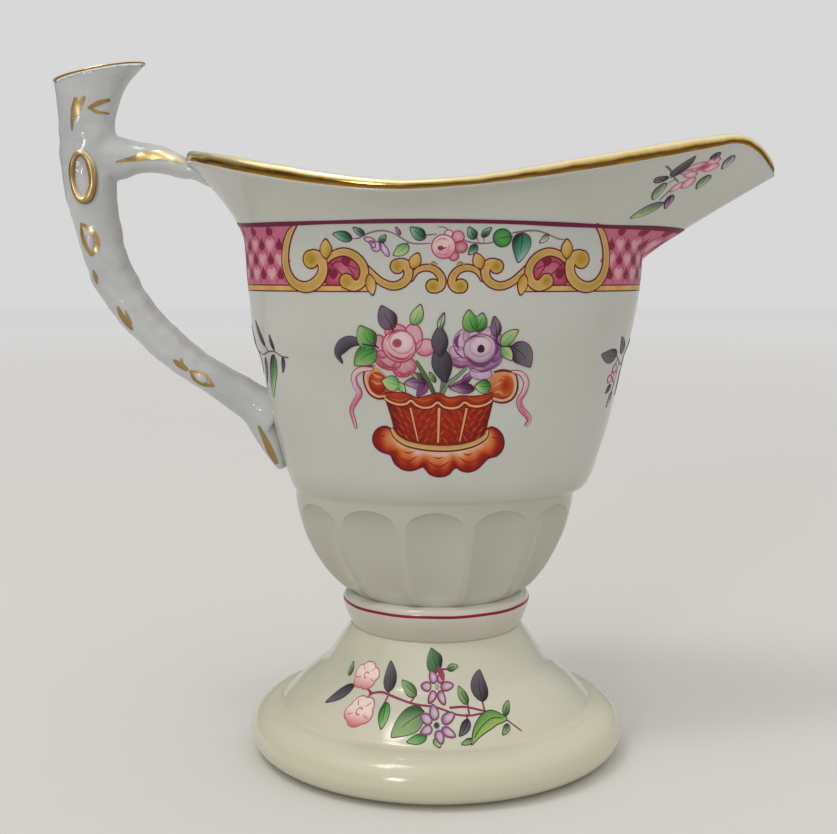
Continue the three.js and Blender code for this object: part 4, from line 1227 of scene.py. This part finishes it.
for run in ([(3.9, 74.7, 0.04), (5.4, 73.4, 0.34), (7.3, 73.2, 0.36), (8.9, 74.3, 0.04)],
            [(5.0, 72.6, 0.05), (7.2, 72.1, 0.14), (9.8, 73.3, 0.05)],
            [(3.9, 76.9, 0.04), (5.0, 77.9, 0.12), (7.2, 78.0, 0.04)],
            [(2.6, 78.5, 0.05), (2.0, 77.1, 0.36), (2.5, 75.8, 0.06)],
            [(8.5, 77.9, 0.05), (9.3, 76.3, 0.4), (9.1, 74.7, 0.05)],
            [(1.0, 73.5, 0.05), (2.6, 72.8, 0.24), (4.3, 73.0, 0.05)],
            [(1.6, 76.4, 0.05), (2.2, 75.2, 0.14), (3.6, 74.2, 0.05)]):
    stroke(basket, VIOLET, run, mix(violet_deep, violet_dark, 0.3), 15.5)
blob(basket, VIOLET, [(6.4, 76.6), (6.95, 76.2), (7.0, 75.5), (6.4, 75.2), (5.8, 75.5), (5.85, 76.2)],
     violet_dark, 17, rings=4, steps=24)

# The hooked dark leaf at the far left.
hook = [(-13.3, 76.3, 0.12), (-15.0, 76.9, 0.5), (-16.9, 76.9, 0.95), (-18.5, 75.9, 0.95),
        (-19.4, 74.6, 0.5), (-18.9, 73.4, 0.14)]
edged_stroke(basket, DARK, 0.1, violet_dark, DARK, hook,
             lambda t, v: mix(soot_dark, soot, np.clip(0.45 - 0.4 * v, 0, 1)), 13)

# The tall dark bud between the roses, and the leaves round them.
leaf(
    basket, (0.35, 70.2), (-0.9, 76.4), 1.75,
    (soot_dark, mix(soot_dark, soot, 0.3), mix(soot_dark, soot, 0.7)), 16, bend=0.2, slot_name=DARK,
    full=1.05, rim=violet_dark, rib=False)
leaf(
    basket, (-0.7, 74.6), (-0.9, 79.6), 1.35,
    (soot_dark, mix(soot_dark, soot, 0.5), mix(soot_dark, soot, 0.8)), 18, slot_name=DARK,
    full=0.95, rim=violet_dark, rib=False)
leaf(basket, (-0.9, 79.2), (-0.3, 81.8), 0.5, (soot, green_pale, stem_grey), 17, bend=0.1, rim=violet_dark)
for base, tip, half, shades, bend, slot_name in (
    ((-8.7, 79.4), (-10.9, 83.0), 1.55, (soot_dark, mix(soot, violet_deep, 0.25), soot), 0.5, DARK),
    ((-5.5, 80.0), (-4.3, 83.2), 1.0, PALES, -0.3, GREEN),
    ((-12.3, 76.2), (-14.7, 79.6), 1.75, GREENS, 0.5, GREEN),
    ((-12.0, 75.5), (-16.4, 73.0), 1.6, GREENS, -0.5, GREEN),
    ((5.1, 78.9), (3.9, 82.3), 1.3, GREENS, 0.6, GREEN),
    ((5.1, 79.0), (6.2, 81.8), 1.25, GREENS, -0.6, GREEN),
    ((9.0, 78.0), (8.3, 81.2), 0.85, (soot_dark, mix(soot, violet, 0.3), soot), -0.1, DARK),
    ((10.1, 76.4), (12.7, 78.9), 1.0, PALES, 0.4, GREEN),
    ((10.0, 76.0), (12.2, 73.9), 0.85, PALES, 0.3, GREEN),
    ((11.9, 76.2), (15.9, 72.7), 1.75, SOOTS, 0.8, DARK),
    ((-8.3, 69.7), (-11.4, 70.4), 1.25, PALES, 0.1, GREEN),
    ((-8.4, 69.9), (-7.2, 68.5), 0.55, PALES, 0.1, GREEN),
    ((8.6, 69.5), (5.8, 69.5), 1.15, (green_dark, green, green_pale), 0.1, GREEN),
):
    leaf(basket, base, tip, half, shades, 14, bend=bend, slot_name=slot_name)
for run in (
    [(-9.2, 79.6, 0.1), (-8.8, 78.8, 0.12)],
    [(9.2, 78.1, 0.1), (9.0, 77.2, 0.12), (10.0, 76.3, 0.1), (11.9, 76.3, 0.12), (13.0, 76.4, 0.05)],
    [(-12.0, 76.2, 0.14), (-13.2, 76.4, 0.14), (-14.4, 76.6, 0.1)],
    [(-12.4, 76.8, 0.1), (-11.6, 76.0, 0.14)]):
    stroke(basket, DARK, run, violet_dark, 17)
basket.done()


# ---- Sprays on the foot, the spout and beside the handle ----------------------------------------

NIGHTS = (soot_dark, mix(soot_dark, soot, 0.6), soot)
OLIVES = (green_dark, mix(green_dark, green_pale, 0.45), mix(green, green_pale, 0.5))


def stems(p, runs, colour, level, half=0.11):
    for run in runs:
        stroke(p, VIOLET, [(s, z, half * (1 - 0.35 * n / len(run))) for n, (s, z) in enumerate(run)],
               colour, level)


def leaves(p, level, *rows):
    for base, tip, half, shades, bend in rows:
        dark = shades is SOOTS or shades is NIGHTS
        leaf(p, base, tip, half, shades, level, bend=bend, slot_name=DARK if dark else GREEN, rim=soot_dark,
             rim_half=0.1)


def floret(p, centre, petals, level, pale, deep):
    """A flower of separate petals. Each has its direction, how far out it is, its length and its width."""
    for degrees, out, length, half in petals:
        a = math.radians(degrees)
        middle = np.array(centre) + np.array([math.cos(a), math.sin(a)]) * out
        blob(p, VIOLET, oval(middle, length * 0.63, half * 1.1, degrees, pinch=0.3),
             lambda r, x, z: mix(pale, deep, np.clip(0.2 + 0.75 * r ** 2 - 0.3 * x, 0, 1)), level,
             rim=(VIOLET, mix(deep, maroon, 0.35)), rim_half=0.11,
             rings=4, steps=26)


def blossom(p, centre, wide, tall, turned, level):
    """A five-lobed blossom: pale above and rosy below, with a small open middle."""
    edge = mix(rose, rose_deep, 0.5)
    outline = []
    for n in range(40):
        a = TAU * n / 40
        reach = 0.84 + 0.16 * abs(math.cos(2.5 * (a - turned))) ** 0.7
        outline.append((centre[0] + wide * reach * math.cos(a), centre[1] + tall * reach * math.sin(a)))
    blob(p, PINK, outline, lambda r, x, z: mix(salmon_pale, mix(salmon, rose_deep, 0.3),
                                               np.clip(0.12 - 1.1 * z - 0.15 * (1 - r), 0, 1)),
         level, rim=(PINK, edge), rim_half=0.09, rings=8, steps=80)
    eye = [(centre[0] + 0.5 * math.cos(a), centre[1] + 0.45 * math.sin(a), 0.08)
           for a in np.linspace(0.6, 5.2, 9)]
    stroke(p, MAROON, eye, mix(salmon, rose_deep, 0.6), level + 3, steps=20)
    for degrees in (50, 130, 205, 335):
        a = math.radians(degrees)
        fold = [(centre[0] + wide * q * math.cos(a), centre[1] + tall * q * math.sin(a), h) for q,
                h in ((0.4, 0.03), (0.6, 0.07), (0.85, 0.04))]
        stroke(p, MAROON, fold, mix(salmon, rose_deep, 0.35), level + 3, steps=8)


foot_spray = Painting("foot_spray", on_foot)
stems(foot_spray, (
    [(-12.4, 15.2), (-10.2, 15.6), (-8.0, 15.3), (-4.0, 14.6), (0.0, 14.2), (3.0, 13.3), (5.0, 13.1),
     (7.2, 13.2), (9.0, 12.6), (10.3, 12.0),
     (11.9, 10.3)],
    [(2.0, 14.2), (4.4, 14.2), (6.6, 13.7), (8.6, 13.1), (10.2, 12.5)], [(-8.9, 15.6), (-9.2, 16.8)],
                   [(-4.6, 14.7), (-4.0, 15.6)],
    [(-8.8, 15.2), (-9.0, 14.2)], [(-11.9, 15.2), (-13.4, 15.7)], [(-12.0, 15.2), (-12.6, 14.4)],
                   [(0.3, 19.2), (0.0, 20.4)], [(0.8, 19.5), (2.2, 19.5)],
    [(7.4, 13.2), (7.6, 14.8)], [(4.8, 13.2), (5.0, 14.7)], [(4.4, 13.2), (4.4, 12.6)],
                   [(-3.2, 14.4), (-2.2, 13.7)],
), mix(maroon, magenta, 0.55), 2, half=0.15)
leaves(
    foot_spray, 4,
    ((-9.0, 15.8), (-10.4, 20.2), 1.25, NIGHTS, -0.3), ((-3.8, 15.7), (-6.9, 17.6), 0.8, OLIVES, 0.2),
    ((-8.7, 14.4), (-8.1, 11.1), 0.8, GREENS, 0.2), ((-16.4, 15.5), (-19.6, 12.7), 0.95, NIGHTS, -0.3),
    ((5.0, 14.6), (4.0, 16.9), 0.75, OLIVES, 0.2), ((7.6, 14.7), (8.9, 19.0), 1.55, NIGHTS, 0.5),
    ((4.5, 12.6), (2.9, 10.6), 0.6, NIGHTS, 0.2), ((10.3, 12.6), (12.2, 14.2), 0.42, OLIVES, 0.1),
    ((10.3, 11.4), (9.0, 10.2), 0.4, OLIVES, 0.1), ((2.1, 19.5), (4.3, 19.9), 0.5, OLIVES, 0.1),
    ((-2.2, 13.6), (-6.3, 10.2), 1.7, OLIVES, -0.7),
    ((0.4, 19.3), (-1.4, 22.6), 1.7, (soot_dark, mix(soot_dark, green, 0.45), mix(soot, green, 0.5)), 0.5),
    ((-19.0, 16.8), (-19.9, 18.8), 0.6, OLIVES, 0.2),
)
for base, tip, half, shades in (((-1.6, 10.5), (-4.1, 9.75), 0.62, GREENS),
                                ((-0.3, 10.4), (0.2, 9.2), 0.55, PALES),
                                ((4.6, 10.0), (3.1, 9.5), 0.36, OLIVES)):
    leaf(foot_spray, base, tip, half, shades, 4, rim=soot_dark, rim_half=0.1, rib=False)
sweep = curve([(10.2, 12.2), (8.3, 12.5), (6.6, 11.8), (5.4, 10.8), (4.4, 9.4)], 15)
swell = 1.0 * np.sin(math.pi * np.linspace(0.04, 1, 15) ** 0.8)
stroke(foot_spray, DARK, np.column_stack([sweep, swell + 0.13]), soot_dark, 4)
stroke(
    foot_spray, GREEN, np.column_stack([sweep, swell]),
    lambda t, v: mix(
        mix(green_dark, green, 0.6), linear("#84a04e"), np.clip(0.5 + 0.45 * v + 0.2 * t, 0, 1)),
    5)
stroke(foot_spray, DARK, np.column_stack([sweep[1:-2], np.full(12, 0.07)]), green_dark, 6)
blossom(foot_spray, (-14.9, 17.5), 2.95, 2.1, 0.3, 5)
blossom(foot_spray, (-12.5, 12.8), 2.45, 2.1, 0.9, 5)
stroke(foot_spray, VIOLET, [(0.2, 19.6, 0.3), (0.7, 19.0, 0.55), (1.0, 18.2, 0.4)],
       (mix(maroon, rose_deep, 0.5), rose_deep), 7)
floret(foot_spray, (-0.1, 16.8), ((118, 1.8, 1.6, 0.62), (176, 2.1, 1.5, 0.58), (235, 1.6, 1.4, 0.5),
                                  (300, 1.6, 1.5, 0.52), (6, 1.9, 1.9, 0.56),
                                  (62, 1.7, 1.4, 0.56)), 6, mix(violet_pale, salmon_pale, 0.3),
       mix(violet_deep, rose_deep, 0.3))
floret(foot_spray, (-0.2, 12.0), ((105, 1.7, 1.5, 0.6), (152, 1.8, 1.5, 0.55), (205, 1.6, 1.3, 0.5),
                                  (285, 1.6, 1.4, 0.5), (330, 1.9, 1.6, 0.5),
                                  (28, 2.0, 1.7, 0.56)), 8, mix(violet_pale, salmon_pale, 0.25),
       mix(violet_deep, violet, 0.2))
blob(foot_spray, DARK, oval((-0.1, 16.9), 0.35, 0.4), (green_pale, stem_grey), 8, rings=3, steps=16)
blob(foot_spray, DARK, oval((-0.2, 12.0), 0.42, 0.42), (soot_dark, soot), 10, rings=3, steps=18)
foot_spray.done()

body_spray = Painting("body_spray", on_body)

# The spray that runs down from the beak.
stems(body_spray, ([(24.8, 106.6), (27.5, 106.0), (29.8, 105.2), (32.5, 104.3)],
                   [(30.3, 105.1), (29.2, 104.6)], [(31.4, 104.7), (31.0, 103.8)],
                   [(33.0, 103.2), (33.6, 101.2)]), mix(violet_deep, stem_grey, 0.5), 2)
leaves(body_spray, 4, ((30.4, 105.3), (26.9, 108.4), 0.9, NIGHTS, 0.2),
       ((29.8, 104.4), (27.2, 104.7), 0.55, SOOTS, 0.1),
       ((30.3, 103.9), (32.5, 101.2), 0.6, (soot, mix(soot, green_pale, 0.5), green_pale), 0.1),
       ((34.6, 100.7), (32.2, 98.0), 1.0, (soot, mix(soot, green_pale, 0.45), green_pale), 0.2),
       ((30.8, 109.2), (33.0, 108.0), 0.45, SOOTS, 0.2),
       ((34.4, 109.0), (35.9, 106.8), 0.42, (soot, mix(soot, violet_pale, 0.6), violet_pale), 0.2),
       ((35.3, 105.6), (36.5, 103.3), 0.5, (soot, mix(soot, green_pale, 0.5), green_pale), 0.1),
       ((34.3, 102.0), (36.0, 99.8), 0.4, (violet_dark, mix(violet, soot, 0.5), violet), 0.1))
for centre, rx, rz, tilt in (((31.2, 107.0), 1.1, 0.6, 24), ((32.9, 108.0), 0.9, 0.6, -14),
                             ((34.1, 106.9), 0.8, 0.7, -40), ((32.6, 105.6), 1.2, 0.5, -12),
                             ((34.2, 104.2), 0.6, 1.1, 34), ((31.4, 105.9), 0.8, 0.4, 12),
                             ((33.4, 103.4), 0.5, 0.9, 20)):
    blob(
        body_spray, PINK, oval(centre, rx, rz, tilt),
        lambda r, x, z: mix(rose_pale, rose, np.clip(0.1 + 0.8 * r ** 2, 0, 1)), 5,
        rim=(MAROON, mix(rose, rose_deep, 0.5)), rim_half=0.07, steps=28)
blob(body_spray, PINK, oval((32.9, 106.9), 0.85, 0.7), (rose_deep, rose), 7, rings=4, steps=20)

# Half of the sprig under the handle; the far side's half meets it below the knot.
stems(body_spray, ([(-30.9, 73.8), (-32.5, 73.9), (-34.5, 74.7), (-36.5, 74.6), (-40.0, 73.9),
                    (-43.0, 74.6), (-46.3, 75.0)],
                   [(-34.2, 74.8), (-34.4, 76.2)], [(-36.4, 74.6), (-37.4, 76.0)]),
      mix(violet_deep, soot, 0.5), 2, half=0.14)
leaves(body_spray, 4, ((-34.9, 74.1), (-38.6, 66.3), 1.25, (soot_dark, mix(soot, green, 0.6), green_pale),
                       -0.6),
       ((-34.2, 75.0), (-34.7, 77.6), 0.42, NIGHTS, 0.1), ((-32.3, 73.8), (-33.3, 71.1), 0.45, NIGHTS, 0.1),
       ((-37.1, 75.6), (-39.6, 80.0), 0.6, SOOTS, 0.3),
       ((-39.0, 73.4), (-41.2, 68.8), 0.7, (soot_dark, mix(soot, violet, 0.3), soot), 0.2),
       ((-43.2, 74.4), (-44.6, 70.0), 0.9, GREENS, 0.3), ((-43.4, 75.0), (-44.8, 79.0), 0.8, OLIVES, -0.2))

# Half of the sprig under the spout.
stems(body_spray, ([(36.4, 74.2), (39.5, 72.6), (43.0, 71.6), (46.3, 71.2)], [(38.0, 73.4), (37.6, 71.6)],
                   [(39.6, 72.6), (39.0, 68.6), (38.4, 66.4)],
                   [(36.2, 69.6), (38.4, 70.6)]), mix(violet_deep, soot, 0.4), 2, half=0.14)
leaves(body_spray, 4, ((36.9, 73.9), (31.6, 74.3), 1.25, SOOTS, 0.4),
       ((39.7, 74.2), (36.8, 77.2), 0.85, SOOTS, 0.2),
       ((37.4, 68.6), (35.8, 67.2), 0.55, NIGHTS, 0.1),
       ((38.9, 67.2), (37.6, 64.6), 0.7, (soot, mix(soot, green_pale, 0.5), green_pale), 0.2),
       ((43.2, 71.4), (42.4, 66.4), 1.1, GREENS, 0.3), ((42.4, 72.0), (42.8, 76.6), 1.0, OLIVES, -0.3))
for centre, rx, rz, tilt in (((36.3, 69.7), 0.8, 0.7, 0), ((37.6, 71.5), 0.9, 0.8, 20),
                             ((38.4, 70.0), 0.8, 1.0, 0), ((37.2, 70.4), 0.6, 0.6, 0)):
    blob(body_spray, PINK, oval(centre, rx, rz, tilt), (rose_pale, mix(rose, violet, 0.4)), 5,
         rim=(MAROON, mix(rose_deep, violet_deep, 0.5)),
         rim_half=0.08, rings=4, steps=24)
body_spray.done()

# One flower on each end's middle joins the two halves.
for end, z in (("spout", 71.4), ("handle", 74.6)):
    middle = Painting(f"{end}_flower", on_body)
    centre = SEAM if end == "spout" else -SEAM
    for degrees in range(20, 380, 72):
        a = math.radians(degrees)
        blob(middle, PINK, oval((centre + 1.5 * math.cos(a), z + 1.5 * math.sin(a)), 1.25, 0.95, degrees),
             (rose_pale, rose), 5,
             rim=(MAROON, rose_deep), rim_half=0.09, rings=4, steps=26)
    blob(middle, MAROON, oval((centre, z), 0.75, 0.7), (rose_eye, rose), 7, rings=4, steps=20)
    middle.done((("middle", 1),))


# ---- The collar's red line and the handle's gilding ---------------------------------------------

def round_collar(s, z):
    r = np.interp(z, collar_profile[1:-1, 1], collar_profile[1:-1, 0])
    return np.stack([r * np.cos(s), r * np.sin(s), z], -1)


LINE_Z, LINE_HALF = 28.35, 0.24
line = Painting("collar_line", round_collar, probe=0.02)
around = np.linspace(0, TAU, 181)[:, None]
height = np.linspace(LINE_Z - LINE_HALF, LINE_Z + LINE_HALF, 4)[None]
waver = 0.05 * np.sin(around * 3) + 0.03 * np.sin(around * 11 + 1)
ring_grid = np.stack(np.broadcast_arrays(around, height + waver), -1)
line.lay(MAROON, ring_grid, mix(crimson, maroon, 0.35 + 0.25 * np.sin(around * 7)) + 0 * height[..., None],
         0)
line.done((("whole", 1),))

GILT_PIGMENT = (0.5, 0.4, 0.2)
leafing = Painting("handle_gilt", on_branch, probe=0.5)
for run in (
    [(-64.2, 119.2, 0.35), (-64.5, 117.6, 0.62), (-64.9, 115.9, 0.42), (-65.1, 113.8, 0.12)],
    [(-62.7, 119.4, 0.3), (-63.5, 118.2, 0.45), (-64.3, 116.6, 0.4)],
    [(-58.7, 119.2, 0.22), (-60.2, 118.6, 0.42), (-61.9, 117.7, 0.3)],
    [(-61.9, 117.7, 0.25), (-60.6, 117.0, 0.3), (-58.9, 116.9, 0.12)],
    [(-64.1, 97.3, 0.2), (-63.9, 95.3, 0.4), (-63.3, 93.2, 0.45), (-62.4, 91.8, 0.35)],
    [(-64.0, 97.3, 0.2), (-62.7, 96.5, 0.36), (-61.4, 95.0, 0.4), (-61.3, 92.9, 0.4), (-62.2, 91.8, 0.3)],
    [(-62.2, 88.9, 0.15), (-61.9, 87.8, 0.42), (-61.7, 86.6, 0.15)],
    [(-57.9, 82.2, 0.25), (-57.4, 80.9, 0.5), (-56.4, 79.6, 0.6), (-55.6, 78.4, 0.3)],
    [(-56.5, 81.7, 0.12), (-56.2, 80.7, 0.32), (-55.8, 79.5, 0.4)],
    [(-47.9, 72.5, 0.3), (-46.9, 71.8, 0.6), (-45.8, 71.0, 0.4)],
    [(-46.6, 72.9, 0.15), (-46.6, 72.0, 0.4)],
    [(-45.0, 70.6, 0.25), (-43.2, 70.5, 0.26), (-41.8, 69.4, 0.26), (-40.9, 68.1, 0.3)],
    [(-45.0, 70.6, 0.25), (-44.4, 69.2, 0.3), (-42.8, 68.2, 0.34), (-40.9, 68.0, 0.3)],
    [(-32.6, 60.4, 0.25), (-31.5, 57.8, 0.55), (-30.5, 55.4, 0.65), (-29.7, 53.6, 0.4)],
    [(-57.6, 108.3, 0.12), (-54.6, 108.9, 0.5), (-51.2, 109.5, 0.85), (-48.2, 109.3, 0.7),
     (-45.8, 108.3, 0.3)],
):
    stroke(leafing, "gilding", run, GILT_PIGMENT, 6)
leafing.done(material=WORN_GOLD)
for face in ("near", "far"):
    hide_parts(*(f"twig_knot_{face}_{number}" for number in range(1, 6)))

# The pale bosses of two cut twigs, inside their gilt rings.
for number, (x, z, wide, tall, tilt) in enumerate(
    ((-62.5, 94.4, 0.75, 1.9, 12), (-43.0, 69.4, 1.35, 0.8, -32)), 1):
    lean = math.radians(tilt)
    for face, side in (("near", -1), ("far", 1)):
        top = on_handle(x, z, side)[0][1]
        a = np.linspace(0, TAU, 36, endpoint=False)
        rings = []
        for t in np.linspace(0.05, math.pi - 0.05, 14):
            u, v = wide * math.sin(t) * np.cos(a), tall * math.sin(t) * np.sin(a)
            rings.append(np.stack([x + u * math.cos(lean) - v * math.sin(lean),
                                   top - side * 0.25 - side * 0.85 * math.cos(t) + 0 * a,
                                   z + u * math.sin(lean) + v * math.cos(lean)], -1))
        piece(f"twig_boss_{number}_{face}", *skin(rings if side > 0 else rings[::-1]), HANDLE_GLAZE,
              "porcelain_glaze")


# ---- Floor, light and camera --------------------------------------------------------------------

def paper():
    """White paper, painted darker near the jug and brighter with distance, a painted light gradient, so that
    it fades into the backdrop and no horizon shows.
    """
    m = Shader("pale_floor", Roughness=0.9, Specular_IOR_Level=0.1)
    place = m.add("TexCoord").outputs["Object"]
    far = m.add("VectorMath", [(place, "Vector")], operation="LENGTH").outputs["Value"]
    reach = m.add("MapRange", [(far, "Value")], From_Min=0.2, From_Max=1.6).outputs["Result"]
    mottle = m.span(m.noise(9.0), -0.03, 0.03)
    share = m.add("Math", [(reach, 0), (mottle, 1)], operation="ADD").outputs[0]
    m.wire(m.shades(share, [(0.0, FLOOR_NEAR), (1.0, FLOOR_FAR)]), "Base Color")
    m.bump(m.noise(600.0), 0.05, 0.0002)
    return m.material


FLOOR_HALF = 3.0
# Painted light: the paper's near colour is darker and warmer, its far colour brighter, to match the backdrop.
FLOOR_NEAR, FLOOR_FAR = (0.735, 0.718, 0.692), (0.876, 0.88, 0.893)
corners = [(x * FLOOR_HALF, y * FLOOR_HALF, 0) for x, y in ((-1, -1), (1, -1), (1, 1), (-1, 1))]
floor_mesh = bpy.data.meshes.new("floor")
floor_mesh.from_pydata(corners, [], [(0, 1, 2, 3)])
floor_mesh.materials.append(paper())
floor = bpy.data.objects.new("floor", floor_mesh)
bpy.context.collection.objects.link(floor)

# The room: what is seen behind the jug, and the softer light that it gives, brighter from the ceiling.
BACKDROP = 0.685
ROOM_LOW, ROOM_HIGH, RIGHTWARD = 0.215, 0.85, 0.31

world = bpy.data.worlds.new("studio")
world.use_nodes = True
sky = world.node_tree
direction = sky.nodes.new("ShaderNodeTexCoord")
upward = sky.nodes.new("ShaderNodeSeparateXYZ")
sky.links.new(direction.outputs["Generated"], upward.inputs[0])
rising = sky.nodes.new("ShaderNodeMapRange")
rising.interpolation_type = "SMOOTHSTEP"
rising.inputs["From Min"].default_value, rising.inputs["From Max"].default_value = -0.1, 1.0
rising.inputs["To Min"].default_value, rising.inputs["To Max"].default_value = ROOM_LOW, ROOM_HIGH
leaning = sky.nodes.new("ShaderNodeMath")
leaning.operation = "MULTIPLY_ADD"
leaning.inputs[1].default_value = RIGHTWARD
sky.links.new(upward.outputs["X"], leaning.inputs[0])
sky.links.new(upward.outputs["Z"], leaning.inputs[2])
sky.links.new(leaning.outputs[0], rising.inputs["Value"])
room = sky.nodes["Background"]
room.inputs["Color"].default_value = (1, 0.995, 0.98, 1)
sky.links.new(rising.outputs["Result"], room.inputs["Strength"])
backdrop = sky.nodes.new("ShaderNodeBackground")
backdrop.inputs["Color"].default_value = (BACKDROP, BACKDROP, BACKDROP * 1.01, 1)
seen = sky.nodes.new("ShaderNodeLightPath")
choose = sky.nodes.new("ShaderNodeMixShader")
sky.links.new(seen.outputs["Is Camera Ray"], choose.inputs[0])
sky.links.new(room.outputs[0], choose.inputs[1])
sky.links.new(backdrop.outputs[0], choose.inputs[2])
sky.links.new(choose.outputs[0], sky.nodes["World Output"].inputs["Surface"])
bpy.context.scene.world = world


def softbox(name, place, aim, size, power, colour=(1, 1, 1)):
    light = bpy.data.lights.new(name, "AREA")
    light.shape, (light.size, light.size_y) = "RECTANGLE", size
    light.energy, light.color = power, colour
    lamp = bpy.data.objects.new(name, light)
    lamp.location = place
    lamp.rotation_euler = (Vector(aim) - Vector(place)).to_track_quat("-Z", "Y").to_euler()
    bpy.context.collection.objects.link(lamp)


sun = bpy.data.lights.new("window_wall", "SUN")
sun.energy, sun.angle, sun.color = 0.35, math.radians(50), (1, 0.98, 0.95)
daylight = bpy.data.objects.new("window_wall", sun)
daylight.rotation_euler = Vector((0.5, 0.45, -0.9)).to_track_quat("-Z", "Y").to_euler()
bpy.context.collection.objects.link(daylight)
softbox("skylight", (-0.32, -0.27, 0.95), (0, 0, 0.03), (0.15, 0.30), 1.4, (1, 0.99, 0.96))
softbox("window", (-0.42, -0.95, 0.34), (0, 0, 0.08), (0.15, 0.21), 1.5)

FOCAL_PIXELS, WIDTH_PIXELS, SENSOR = 1300, 837, 36.0
camera = bpy.data.cameras.new("camera")
camera.sensor_width, camera.lens = SENSOR, SENSOR * FOCAL_PIXELS / WIDTH_PIXELS
camera.clip_start = 0.01
eye = bpy.data.objects.new("camera", camera)
eye.location = (0.00068, -0.240, 0.0888)
eye.rotation_euler = (math.radians(90 - 6.4), 0, 0)
bpy.context.collection.objects.link(eye)
bpy.context.scene.camera = eye
bpy.context.scene.view_settings.view_transform = "Standard"
